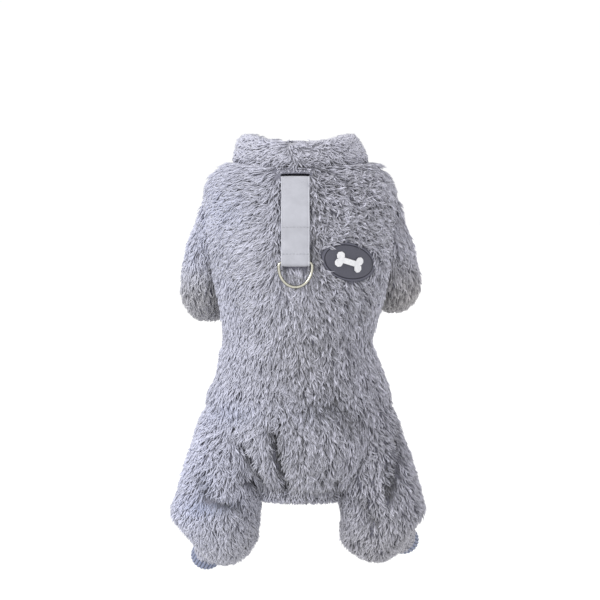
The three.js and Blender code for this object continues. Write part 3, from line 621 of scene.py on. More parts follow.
class Finish:
    """A material in the making: its shader's inputs, and short ways to add nodes."""

    def __init__(self, name, roughness, sheen=0.0, metallic=0.0):
        self.material = bpy.data.materials.new(name)
        self.material.use_nodes = True
        self.tree = self.material.node_tree
        self.shader = self.tree.nodes["Principled BSDF"].inputs
        for key, value in (("Roughness", roughness), ("Sheen Weight", sheen), ("Metallic", metallic)):
            self.shader[key].default_value = value
        self.place = self.add("TexCoord").outputs["Object"]

    def add(self, kind, inputs=(), **settings):
        """A node, with its inputs linked to sockets or set to values."""
        node = self.tree.nodes.new("ShaderNode" + kind)
        for key, value in settings.items():
            setattr(node, key, value)
        for key, value in dict(inputs).items():
            if isinstance(value, bpy.types.NodeSocket):
                self.tree.links.new(value, node.inputs[key])
            else:
                node.inputs[key].default_value = value
        return node

    def attribute(self, name):
        """A number that the mesh carries at its points."""
        return self.add("Attribute", attribute_name=name).outputs["Fac"]

    def noise(self, scale, detail):
        """Cloudy noise fixed to the piece."""
        return self.add("TexNoise", {"Vector": self.place, "Scale": scale, "Detail": detail}).outputs["Fac"]

    def math(self, operation, *values):
        """A sum, product or other operation on the values."""
        return self.add("Math", dict(enumerate(values)), operation=operation).outputs[0]

    def between(self, value, low, high, least=0.0, most=1.0):
        """The value carried from low and high to least and most, and held there."""
        ends = {"Value": value, "From Min": low, "From Max": high, "To Min": least, "To Max": most}
        return self.add("MapRange", ends).outputs[0]

    def ramp(self, factor, *stops):
        """A colour ramp with stops of place and colour."""
        node = self.add("ValToRGB", {"Fac": factor})
        elements = node.color_ramp.elements
        for _ in stops[2:]:
            elements.new(0.5)
        for element, (place, colour) in zip(elements, stops):
            element.position = place
            element.color = (*colour, 1)
        return node.outputs["Color"]

    def scaled(self, colour, factor):
        """The colour times a number."""
        return self.add("VectorMath", {0: colour, "Scale": factor}, operation="SCALE").outputs[0]

    def tinted(self, colour, tint):
        """The colour times another."""
        return self.add("VectorMath", {0: colour, 1: tint}, operation="MULTIPLY").outputs[0]

    def done(self, colour, height=None, strength=0.0, distance=0.0):
        """The material with its colour, and with a bump where a height is given."""
        self.tree.links.new(colour, self.shader["Base Color"])
        if height:
            bump = self.add("Bump", {"Height": height, "Strength": strength, "Distance": distance})
            self.tree.links.new(bump.outputs[0], self.shader["Normal"])
        return self.material


def pile_finish(name):
    """Fibre colour from dark roots, painted shade deep in the pile, to the tips, the roots paler on the lit
    side as painted light and on the collar, varied by lock, mottled over the cloth, and painted light and shade
    across the suit, cooler at one side."""
    made = Finish(name, 0.62, 0.35)
    made.shader["Sheen Roughness"].default_value = 0.4
    axes = made.add("SeparateXYZ", {"Vector": made.place}).outputs
    # Painted light: the roots paler toward the lit left side, with less painted shade there.
    painted_light_side = made.between(axes["X"], -0.075, 0.0, 0.75, 0.0)
    collar = made.between(axes["Z"], -0.003, 0.003, 0.0, 0.55)
    pale = made.math("MAXIMUM", painted_light_side, collar)
    along = made.attribute("along")
    paler = made.math("MULTIPLY", made.math("SUBTRACT", 1.0, along), pale)
    c = colours()
    # Dark roots: painted shade deep in the pile.
    stops = (0.0, c.pile_root_shade), (0.42, c.pile_middle), (1.0, c.pile_tip)
    fibre = made.ramp(made.math("ADD", paler, along), *stops)
    # The shade attribute mixes random tone by lock with painted shade in creases and shaded places and the
    # painted light and shade of the tone.
    lock = made.between(made.attribute("shade"), -2.7, 2.0, 0.22, 1.5)
    patch = made.between(made.noise(38.0, 3.0), 0.3, 0.7, 0.92, 1.08)
    hair = made.between(made.noise(1500.0, 2.0), 0.3, 0.7, 0.9, 1.1)
    fibre = made.scaled(fibre, made.math("MULTIPLY", made.math("MULTIPLY", lock, patch), hair))
    # Painted light and shade across the suit: paler and bluer at the left, darker in the middle, paler at the
    # right edge.
    sides = made.ramp(made.between(axes["X"], -0.085, 0.085), (0.0, (0.98, 1.01, 1.10)),
                      (0.28, (0.98, 0.99, 1.03)), (0.5, (0.92, 0.92, 0.94)), (1.0, (1.16, 1.15, 1.17)))
    # Below 0 the warm attribute holds the bluish tint of painted shadow from the soft shaded places; above 0,
    # the warmer lower limbs.
    tint = made.ramp(made.between(made.attribute("warm"), -1.0, 1.0), (0.0, (0.88, 0.94, 1.06)),
                     (0.5, (1.0, 1.0, 1.0)), (1.0, (0.93, 0.90, 0.80)))
    return made.done(made.tinted(made.tinted(fibre, sides), tint))


# Looped cloths: their dark and light colours and the scale of their loops.
CLOTHS = {
    # The plush grounds are darker than the fibres: painted shade deep in the pile, less deep under the collar
    # and hem.
    "plush_ground": ((0.10, 0.10, 0.13), (0.22, 0.22, 0.27), 900.0),
    "plush_ground_band": ((0.26, 0.26, 0.30), (0.38, 0.38, 0.43), 900.0),
    "plush_knit_back": ((0.24, 0.24, 0.29), (0.38, 0.38, 0.44), 900.0),
    "strip_cloth": ((0.26, 0.26, 0.31), (0.40, 0.40, 0.46), 1500.0),
    "thread": ((0.34, 0.345, 0.38), (0.44, 0.445, 0.48), 2400.0),
}


def cloth_finish(name):
    """A fine looped knit with mottled colour."""
    dark, light, scale = CLOTHS[name]
    made = Finish(name, 0.95, 0.25)
    loops = made.add("TexVoronoi", {"Vector": made.place, "Scale": scale}).outputs["Distance"]
    mixed = made.math("MULTIPLY_ADD", made.noise(260.0, 4.0), loops, 0.2)
    return made.done(made.ramp(mixed, (0.25, dark), (0.75, light)), loops, 0.5, 0.0004)


def knit_finish(name):
    """Rib knit: paler ribs and dark furrows from the rib attribute, painted light on the ribs and painted shade
    in the furrows, with small loops along each rib.
    """
    made = Finish(name, 0.9, 0.3)
    base = np.array(colours().knit)
    loop = made.math("SINE", made.math("MULTIPLY", made.attribute("way"), 7.0))
    blend = made.math("MULTIPLY_ADD", loop, 0.06, made.attribute("rib"))
    rough = made.math("MULTIPLY_ADD", made.noise(700.0, 3.0), 0.3, blend)
    # Painted shade in the furrows and painted light on the rib tops.
    colour = made.ramp(rough, (0.3, base * 0.45), (0.75, base), (1.0, base * 1.35))
    return made.done(colour, rough, 0.6, 0.0004)


def tape_finish(name):
    """Woven tape: fine ribs across, warp ends along, a paler selvedge, and faint cloudy patches, darker and
    paler.
    """
    made = Finish(name, 0.72, 0.25)
    base = np.array(colours().tape)
    over = made.attribute("over")
    pick = made.math("SINE", made.math("MULTIPLY", made.attribute("way"), 9.0))
    warp = made.math("SINE", made.math("MULTIPLY", over, 11.0))
    weave = made.math("MULTIPLY", pick, warp)
    selvedge = made.between(made.math("ABSOLUTE", over), 8.7, 9.3, 0.0, 0.2)
    lit = made.math("ADD", made.math("MULTIPLY_ADD", weave, 0.10, made.noise(95.0, 4.0)), selvedge)
    colour = made.ramp(lit, (0.25, base * 0.86), (0.55, base), (0.85, base * 1.16))
    return made.done(colour, weave, 0.35, 0.0002)


def nickel_finish(name):
    """Warm nickel plate with fine rubbing marks, darker where it turns away from the view, which is painted
    shade.
    """
    made = Finish(name, 0.22, 0.0, 1.0)
    marks = made.noise(900.0, 4.0)
    plate = made.ramp(marks, (0.3, (0.50, 0.49, 0.42)), (0.7, (0.70, 0.68, 0.58)))
    facing = made.add("LayerWeight", {"Blend": 0.5}).outputs["Facing"]
    # Painted shade: the plate darkened toward the wire's silhouette, by how far it faces away from the view.
    edge = made.ramp(facing, (0.05, (0.95, 0.95, 0.95)), (0.22, (0.6, 0.59, 0.57)), (0.5, (0.13, 0.13, 0.14)))
    made.tree.links.new(made.between(marks, 0.3, 0.7, 0.16, 0.34), made.shader["Roughness"])
    return made.done(made.tinted(plate, edge))


def rubber_finish(name):
    """Slate rubber, dark in the groove, which is painted shade, and a little paler on the rim."""
    made = Finish(name, 0.5)
    base = np.array(colours().rubber)
    grain = made.noise(1300.0, 3.0)
    # Painted shade: dark in the groove inside the rim; paler on the rim itself.
    rim = made.ramp(made.attribute("share"), (0.84, base), (0.87, base * 0.3), (0.90, base * 1.5),
                    (1.0, base * 0.9))
    return made.done(made.scaled(rim, made.between(grain, 0.3, 0.7, 0.88, 1.12)), grain, 0.25, 0.0001)


def relief_finish(name):
    """White relief, faintly dusty."""
    made = Finish(name, 0.45)
    return made.done(made.ramp(made.noise(600.0, 3.0), (0.3, (0.66, 0.66, 0.69)), (0.7, (0.78, 0.78, 0.80))))


def floor_finish(name):
    """Pale matt floor, a little uneven."""
    made = Finish(name, 0.8)
    return made.done(made.ramp(made.noise(9.0, 2.0), (0.0, (0.88, 0.88, 0.88)), (1.0, (0.92, 0.92, 0.92))))


FINISHES = {
    "plush_pile": pile_finish,
    "ribbed_knit": knit_finish,
    "woven_tape": tape_finish,
    "ring_nickel": nickel_finish,
    "badge_slate": rubber_finish,
    "badge_relief": relief_finish,
    "pale_floor": floor_finish,
}


def finish(name):
    """A material made once and shared."""
    return bpy.data.materials.get(name) or FINISHES.get(name, cloth_finish)(name)


class SuitSizes(bpy.types.PropertyGroup):
    """Sizes of the cloth and pile that a user may change"""
    cloth: bpy.props.FloatProperty(
        name="Cloth", description="Thickness of the plush without its pile", unit="LENGTH",
        default=0.003, min=0.001)
    pile_lift: bpy.props.FloatProperty(
        name="Pile height", description="How far the pile stands off the cloth", unit="LENGTH",
        default=0.0027, min=0.0005)
    lock_length: bpy.props.FloatProperty(
        name="Lock length", description="Length of a lock of the pile", unit="LENGTH",
        default=0.0088, min=0.002)
    lock_width: bpy.props.FloatProperty(
        name="Lock width", description="Half width of a lock of the pile", unit="LENGTH",
        default=0.00075, min=0.0002)
    density: bpy.props.FloatProperty(
        name="Density", description="Locks to a square millimetre on the side that faces back",
        default=0.53, min=0.1)
    ribs: bpy.props.IntProperty(name="Cuff ribs", description="Ribs round a cuff", default=26, min=8)


class SuitColours(bpy.types.PropertyGroup):
    """Colours of the finishes, in linear light"""
    pile_tip: bpy.props.FloatVectorProperty(
        name="Pile tips", description="Colour of the pile at its tips", subtype="COLOR",
        default=(0.55, 0.55, 0.62))
    pile_middle: bpy.props.FloatVectorProperty(
        name="Pile", description="Colour of the pile along its length", subtype="COLOR",
        default=(0.34, 0.34, 0.39))
    # Dark roots: painted shade deep in the pile.
    pile_root_shade: bpy.props.FloatVectorProperty(
        name="Pile roots", description="Colour of the pile at its roots", subtype="COLOR",
        default=(0.10, 0.10, 0.125))
    knit: bpy.props.FloatVectorProperty(
        name="Rib knit", description="Colour of the cuffs", subtype="COLOR", default=(0.125, 0.145, 0.225))
    tape: bpy.props.FloatVectorProperty(
        name="Tape", description="Colour of the lead strap", subtype="COLOR", default=(0.40, 0.405, 0.45))
    rubber: bpy.props.FloatVectorProperty(
        name="Badge", description="Colour of the badge", subtype="COLOR", default=(0.07, 0.07, 0.094))


def size(key):
    """A length that a user may change, in millimetres, rounded as finely as a property holds it."""
    return float(np.float32(getattr(bpy.context.scene.suit_sizes, key) / MM))


def density():
    """Locks to a square millimetre on the side that faces back."""
    return bpy.context.scene.suit_sizes.density


def colours():
    """The colours that a user may change."""
    return bpy.context.scene.suit_colours


def flow_down(points):
    """Comb of the body: down, fanned outward over the shoulders and settling below them."""
    x, _, z = points.T
    near = np.clip((np.abs(x - STRAP_OFFSET) - 9) / 12, 0, 1)
    angle = np.radians(np.interp(-z, FAN_DOWN, FAN_OUT)) * near
    return np.stack([np.sign(x - STRAP_OFFSET) * np.sin(angle), np.zeros_like(x), -np.cos(angle)], -1)


def strap_zone(x, z, grow):
    """Whether places lie under the strap, below its slit."""
    return (np.abs(x - STRAP_OFFSET) < STRAP_WIDTH / 2 + grow) & (z > STRAP_FOOT - grow) & (z < STRAP_HEAD)


def badge_share(x, z):
    """Distance from the badge's middle in shares of its oval."""
    dx, dz = x - BADGE_CENTRE[0], z - BADGE_CENTRE[1]
    along = dx * math.cos(BADGE_TILT) + dz * math.sin(BADGE_TILT)
    up = -dx * math.sin(BADGE_TILT) + dz * math.cos(BADGE_TILT)
    return np.hypot(along / (BADGE_SIZE[0] / 2), up / (BADGE_SIZE[1] / 2))


def on_trim(points):
    """Whether points on the back lie over the tape or the badge, but for the tufts over two of its edges."""
    x, y, z = points.T
    tuft = (x > 21) & (x < 27) & (z > -62) | (x > 49.5)
    return (y < 0) & (strap_zone(x, z, -0.8) | ((badge_share(x, z) < 1.0) & ~tuft))


def slit_mesh():
    """A level slot through the cloth where the strap comes out: wide * sign(cos) |cos|^0.3 across, and
    high * sin up."""
    wide, high = STRAP_WIDTH / 2 + 0.6, 1.25
    turn = around(24)
    x = STRAP_OFFSET + wide * squared(np.cos(turn), 0.3)
    z = high * np.sin(turn) - SLIT_DOWN - 0.4
    return plug_mesh("slit", np.array([np.stack([x, 0 * x + y, z], -1) for y in (-60, -35)]))


class BodyCloth(bpy.types.Operator):
    """The body's cloth, open at the neck, the limbs and the tail, with the slit for the strap"""
    bl_idname = "suit.body_cloth"
    bl_label = "Body cloth"

    def execute(self, context):
        rows, angles = np.linspace(0, LAST_ROW, 82), torso_angles(112)
        outer = rings_of(torso_surface, rows, angles, 0)
        mesh = wall_mesh("torso_cloth", outer, rings_of(torso_surface, rows, angles, -size("cloth")))
        piece = piece_of(mesh, "plush_ground", replaces=("torso",))
        mesh.materials.append(finish("plush_knit_back"))
        cutters = []
        for name, limb in LIMBS.items():
            t = np.linspace(0, limb.shape[1] - 1, 30)
            hollow = rings_of(limb_surface(limb), t, around(48), -size("cloth"))
            cutters.append(plug_mesh(name + "_hollow", hollow))
        carved(piece, *cutters, slit_mesh())
        down, across = outer[1:] - outer[:-1], np.roll(outer, -1, 1) - outer
        area = np.linalg.norm(np.cross(down, across[:-1]), axis=-1).sum()
        girth = np.linalg.norm(across, axis=-1).sum(1).max()
        length = np.linalg.norm(down, axis=-1).sum(0).max()
        area = min(area, girth * length) * MM * MM
        return {"FINISHED"}


class BodyPile(bpy.types.Operator):
    """The pile of the body, denser on the side that faces back"""
    bl_idname = "suit.body_pile"
    bl_label = "Body pile"

    def execute(self, context):
        rng = np.random.default_rng(41)
        back, belly = (math.pi, TURN), (0, math.pi)
        self.grow(rng, "torso_pile_back_upper", (0.4, 8.6), back, density(), 1)
        self.grow(rng, "torso_pile_back_lower", (8.6, LAST_ROW), back, density(), 1)
        self.grow(rng, "torso_pile_belly", (0.4, LAST_ROW), belly, 0.35 * density(), 1.4)
        return {"FINISHED"}

    def grow(self, rng, name, rows, span, thick, full):
        """Locks on one part of the body, flattened under the ring and the slit, curly beside the strap, and
        hanging straight at the hem, with painted light over the left hip and painted shadow right of the strap."""
        t, angle = scattered(rng, torso_surface, rows, span, thick)
        roots = creased(torso_surface, t, angle)
        normals = slopes(torso_surface, t, angle)[2]
        x, y, z = roots.T
        on_back = y < 0
        keep = ~((strap_zone(x, z, -0.6) | (badge_share(x, z) < 0.97)) & on_back)
        keep &= ~((np.abs(x) < STRIP_HALF + 0.5) & (y > 0) & (z < STRIP_HEAD) & (z > STRIP_FOOT))
        for limb in LIMBS.values():
            keep &= ~inside_limb(roots, limb, 0.0)
        roots, normals, on_back = roots[keep], normals[keep], on_back[keep]
        x, y, z = roots.T
        from_strap = np.abs(x - STRAP_OFFSET)
        under_ring = (from_strap < 15) & (z < RING_HEAD) & (z > RING_FOOT) & on_back
        over_slit = (from_strap < 12) & (z > SLIT_PILE_FOOT) & on_back
        lift = np.where(under_ring, 0.45, np.where(over_slit, 0.35, 1.0)) * size("pile_lift")
        lift = lift * np.interp(-z, [3, 14], [0.6, 1.0])
        curly = np.clip((x - 7) / 8, 0, 1) * on_back
        curly = curly * np.interp(-z, CURLS_DOWN, CURLS)
        by_strap = hump(from_strap, 13, 3.5) * (z > -75) * on_back
        # Painted light: lit makes the locks paler over the left hip, on the side the light comes from.
        lit = hump(x, -46, 15) * (z < -165) * on_back
        low = np.interp(-z, [219, 225], [0, 1])
        length = size("lock_length") * np.where(over_slit, np.clip((z + 6.4) / 5, 0.22, 0.6), 1)
        length = length * (1 - 0.3 * curly) * (1 - 0.12 * low)
        flow = flow_down(roots)
        flow[on_back & (x > 47) & (badge_share(x, z) < 1.2)] = [-0.9, 0, -0.45]
        contrast = np.interp(x, CONTRAST_ACROSS, CONTRAST)
        # The tone also darkens the locks right of the strap with by_strap: painted shadow of the strap.
        add_pile(name, rng, roots, normals, flow, length, lift, full * size("lock_width"),
                 swirl=0.34 + 0.3 * curly, wave=13.0, tone=0.35 * lit - 0.7 * by_strap * (x > 0),
                 curl=0.95 * curly + 0.4 * by_strap, bare=on_trim, hang=0.85 * low, contrast=contrast)


class LimbCloth(bpy.types.Operator):
    """The sleeves and legs, each a tube of cloth that ends on the body"""
    bl_idname = "suit.limb_cloth"
    bl_label = "Sleeves and legs"

    def execute(self, context):
        body = rings_of(torso_surface, np.linspace(0, LAST_ROW, 60), torso_angles(72), SEAM_GAP)
        for name, limb in LIMBS.items():
            surface = limb_surface(limb)
            rows = np.linspace(0, limb.shape[1] - 1, 57)
            outer = rings_of(surface, rows, around(64), 0)
            mesh = wall_mesh(name + "_cloth", outer, rings_of(surface, rows, around(64), -size("cloth")))
            piece = piece_of(mesh, "plush_ground", replaces=(name,))
            mesh.materials.append(finish("plush_knit_back"))
            carved(piece, plug_mesh("body_solid", body))
        return {"FINISHED"}


class LimbPile(bpy.types.Operator):
    """The pile of the sleeves and legs"""
    bl_idname = "suit.limb_pile"
    bl_label = "Limb pile"

    def execute(self, context):
        rng = np.random.default_rng(43)
        for name, limb in LIMBS.items():
            self.grow(rng, name, limb, name.startswith("leg"), name.endswith("left"))
        return {"FINISHED"}

    def grow(self, rng, name, limb, leg, left):
        """Locks on one limb, shorter toward its cuff, darker where it lies against the body, which is painted
        shade, and painted lighter on the left leg and darker on the right.
        """
        surface = limb_surface(limb)
        last = limb.shape[1] - 1
        parts = []
        for span, share in (((math.pi, TURN), 0.92), ((0, math.pi), 0.36)):
            t, angle = scattered(rng, surface, (0.5, last - 0.02), span, share * density())
            roots = creased(surface, t, angle)
            along, _, normals = slopes(surface, t, angle)
            keep = ~inside_torso(roots, 0.0)
            parts.append((roots[keep], normals[keep], along[keep], t[keep]))
        roots, normals, along, t = (np.concatenate(group) for group in zip(*parts))
        x, _, z = roots.T
        fan = (x - smooth(limb[0], t)) / 28 * (0.9 if leg else 0.25)
        near_end = np.clip((last - t) / (3.2 if leg else 0.9), 0, 1)
        length = size("lock_length") * (0.42 + (0.36 if leg else 0.48) * near_end)
        lift = size("pile_lift") * (0.35 + 0.65 * near_end)
        # Painted shade: gap marks the locks where the limb lies against the body, darkened through the tone
        # below.
        gap = inside_torso(roots, 4.5) & (normals[:, 1] < 0.3)
        if leg:
            warm = 0.35 * np.interp(-z, [235, 275], [0, 1])
            # Painted light on the left leg and painted shade on the right, as the light falls from the left.
            tone = (0.25 if left else -0.3) - 0.5 * gap * (z < -215)
        else:
            warm = np.interp(-z, [62, 92], [0, 1])
            tone = -0.3 * warm - gap * np.interp(-z, [55, 85], [0.1, 1.0])
        flow = along + fan[:, None] * RIGHTWARD + 0.5 * DOWN
        width = (0.9 if leg else 1) * size("lock_width")
        add_pile(name + "_pile", rng, roots, normals, flow, length, lift, width, swirl=0.45, wave=11.0,
                 tone=tone, curl=0.25, warm=warm, contrast=0.25 if left else 1.0)


def band_surface(row, foot, height, thickness, lean=0, dip=0, rise=0, flare=0):
    """An upright oval carried round a seam: up = (1 + sin^0.8) / 2 of the height, and out = cos^0.8 * half
    the thickness, less lean * up * (1 + end (0.9 + 0.6 cos turn)), plus flare * end * (1 - up), with end =
    cos^2 turn. The height grows by rise * end, and the whole dips by dip * sin^2 turn."""
    _, left, right, back, belly = row
    middle = np.array([(right - left) / 2, (belly - back) / 2])
    reach = np.array([(right + left - 3) / 2, (belly + back - 3) / 2])

    def surface(turn, corner):
        up = (1 + squared(np.sin(corner), 0.8)) / 2
        end = np.cos(turn) ** 2
        inward = lean * up * (1 + end * (0.9 + 0.6 * np.cos(turn)))
        out = squared(np.cos(corner), 0.8) * thickness / 2 - inward + flare * end * (1 - up)
        x = middle[0] + np.cos(turn) * (reach[0] + out)
        y = middle[1] + np.sin(turn) * (reach[1] + out)
        return np.stack([x, y, foot + up * (height + rise * end) - dip * np.sin(turn) ** 2], -1)
    return surface


def band_piece(name, surface, node, columns, corners):
    """The padded roll of a band."""
    turn, corner = np.meshgrid(around(columns), around(corners), indexing="ij")
    roll = piece_of(tube_mesh(name, surface(turn, corner)), "plush_ground_band", replaces=(node,))


class Collar(bpy.types.Operator):
    """The rolled collar and its long pile"""
    bl_idname = "suit.collar"
    bl_label = "Collar"

    def execute(self, context):
        rng = np.random.default_rng(47)
        surface = band_surface(TORSO[0], SEAM_GAP, COLLAR_HEIGHT, COLLAR_THICKNESS, COLLAR_LEAN, NECK_DIP,
                               COLLAR_RISE, COLLAR_FLARE)
        band_piece("collar_roll", surface, "collar", 128, 28)
        turn, corner = scattered(rng, surface, (0, TURN), (-1.9, 3.0),
                                 lambda p: density() * np.where(p[..., 1] < 12, 1.0, 0.6))
        roots = surface(turn, corner)
        ring, over, normals = slopes(surface, turn, corner)
        outward = surface(turn, corner * 0 + 0.5) - surface(turn, corner * 0 + math.pi - 0.5)
        turned_in = (dot(normals, outward)[:, 0] < 0) & (corner < 1.2)
        normals = np.where(turned_in[:, None], -normals, normals)
        x = roots[:, 0]
        inner = np.clip((corner - 1.5) / 0.5, 0, 1)[:, None]
        apart = np.tanh((x + 3) / 9)
        apart = (apart + 1.3 * wander(roots, 15.0, 23) * (1 - np.abs(apart)))[:, None]
        down = np.where(corner < 1.5, 0.45, 0)[:, None]
        flow = ring * apart * (1 - inner) - over * down + over * inner
        lift = size("pile_lift") * (1 - 0.5 * inner[:, 0]) * (1 - 0.5 * hump(corner, 1.5, 0.7))
        lift = lift * (1 - 0.45 * np.abs(np.cos(turn)) ** 3 * (corner < 1.5))
        # Painted shadow: the tone makes the locks darker low on the roll, where it turns in over the body.
        add_pile("collar_pile", rng, roots, normals, flow, 0.8 * size("lock_length"), lift,
                 size("lock_width"), swirl=0.6, wave=11.0, tone=0.4 - 0.4 * (corner < -0.8), curl=0.45,
                 contrast=0.35)
        return {"FINISHED"}


class Hem(bpy.types.Operator):
    """The gathered hem round the tail opening"""
    bl_idname = "suit.hem"
    bl_label = "Hem"

    def execute(self, context):
        rng = np.random.default_rng(53)
        plain = band_surface(TORSO[-1], -BODY_LENGTH - SEAM_GAP - HEM_HEIGHT, HEM_HEIGHT, HEM_THICKNESS)

        def surface(turn, corner):
            """The plain band moved outward by its gathers, 0.5 sin(19 turn) * (1 + sin corner) / 2."""
            gather = 0.5 * np.sin(19 * turn) * (1 + np.sin(corner)) / 2
            outward = np.stack([np.cos(turn), np.sin(turn), 0 * turn], -1)
            return plain(turn, corner) + gather[..., None] * outward
        band_piece("hem_roll", surface, "hem_band", 160, 20)
        turn, corner = scattered(rng, surface, (0, TURN), (-2.0, 1.7), density())
        roots = surface(turn, corner)
        normals = slopes(surface, turn, corner)[2]
        cos, sin = np.cos(corner), np.sin(corner)
        outward = np.stack([np.cos(turn) * cos, np.sin(turn) * cos, sin], -1)
        normals = np.where(dot(normals, outward) < 0, -normals, normals)
        keep = ~inside_limb(roots, LIMBS["leg_left"], 0.3) & ~inside_limb(roots, LIMBS["leg_right"], 0.3)
        roots, normals = roots[keep], normals[keep]
        room = np.clip((roots[:, 2] + BODY_LENGTH + 9.3) / 8, 0.2, 0.75)
        add_pile("hem_pile", rng, roots, normals, np.zeros_like(roots) + DOWN, room * size("lock_length"),
                 0.7 * size("pile_lift"), size("lock_width"), swirl=0.4, wave=12.0)
        return {"FINISHED"}


class Cuffs(bpy.types.Operator):
    """The four rib cuffs, each a folded tube of rib knit"""
    bl_idname = "suit.cuffs"
    bl_label = "Rib cuffs"

    def execute(self, context):
        self.knit("cuff_front_left", "sleeve_left", 1)
        self.knit("cuff_front_right", "sleeve_right", 1)
        self.knit("cuff_hind_left", "leg_left", 1.06)
        self.knit("cuff_hind_right", "leg_right", 1.06)
        return {"FINISHED"}

    def knit(self, name, limb_name, wide):
        """A profile of advance and radius along the end of a limb, less its ribs, 1 - |cos|^0.6."""
        ribs = bpy.context.scene.suit_sizes.ribs
        limb = LIMBS[limb_name]
        end, tilt = limb[:3, -1], limb[3, -1]
        run = unit(end - limb[:3, -2])
        gap = SEAM_GAP / (run[1] * math.sin(tilt) - run[2] * math.cos(tilt))
        angles = around(6 * ribs)
        profile = [(-3.0, 9.6), (-1.2, 10.2), (0.0, 10.8), (1.2, 11.0)]
        profile += [(a, CUFF_RADIUS + 0.12 * math.sin(a)) for a in np.linspace(2, 12.6, 14)]
        profile += [(13.5, 10.9), (14.0, 10.2), (13.6, 9.4), (12.4, 9.05), (6.0, 9.0), (0.0, 9.0)]
        profile += [(-1.2, 9.0), (-3.0, 8.8)]
        advance, radius = np.array(profile).T
        wave = np.abs(np.cos(ribs / 2 * angles)) ** 0.6
        relief = np.where(radius > 9.8, 0.75, 0.25)[:, None] * (1 - wave)[None]
        reach = radius[:, None] * wide - relief
        deep = reach * np.sin(angles)
        rings = np.stack([reach * np.cos(angles), deep * math.cos(tilt), deep * math.sin(tilt)], -1)
        rings = rings + end + run * (gap + advance)[:, None, None]
        ribbing, way = np.tile(wave, len(rings)), np.repeat(advance, len(angles))
        mesh = tube_mesh(name + "_knit", rings, rib=ribbing, way=way)
        piece = piece_of(mesh, "ribbed_knit", replaces=(name,))


def resampled(points, count):
    """Evenly spaced places on the smooth curve through the points, and their distances along it."""
    t = np.linspace(0, len(points) - 1, 40 * len(points))
    fine = np.stack([smooth(column, t) for column in np.asarray(points, float).T], -1)
    run = np.concatenate([[0], np.cumsum(np.linalg.norm(np.diff(fine, axis=0), axis=1))])
    even = np.linspace(0, run[-1], count)
    return np.stack([np.interp(even, run, column) for column in fine.T], -1), even


def stitch_mesh(name, centres, ways, ups, length, girth):
    """Threads: at each centre a spindle, centre - way * L/2 cos q + up * g (0.9 sin q - 0.7), of radius
    g sin(q)^0.5."""
    q = np.linspace(0.12, math.pi - 0.12, 6)
    turn = around(6)
    sides = np.cross(ways, ups)
    middle = centres[:, None] + ways[:, None] * (-length / 2 * np.cos(q))[:, None]
    middle = middle + ups[:, None] * (girth * (0.9 * np.sin(q) - 0.7))[:, None]
    radius = girth * np.sin(q) ** 0.5
    rings = middle[:, :, None] + radius[:, None, None] * (
        np.cos(turn)[:, None] * sides[:, None, None] + np.sin(turn)[:, None] * ups[:, None, None])
    caps = np.array([[5, 4, 3, 2], [5, 2, 1, 0], [30, 31, 32, 33], [30, 33, 34, 35]])
    one = turned_out(rings[0].reshape(-1, 3), np.concatenate([grid_faces(len(q), 6, False), caps]))
    faces = (one[None] + 36 * np.arange(len(centres))[:, None, None]).reshape(-1, 4)
    return mesh_of(name, rings.reshape(-1, 3), faces)


def ring_centre():
    """Middle of the ring's bar, 3.1 above the cloth along its normal."""
    cloth, normal = torso_under([STRAP_OFFSET], [-RING_DOWN])
    return (cloth + normal * 3.1)[0]


def by_bar(z):
    """How far the strap is lifted where it nears the ring's bar: 2.5 exp(-d / 4.2)."""
    return 2.5 * np.exp(-(z + RING_DOWN) / 4.2)


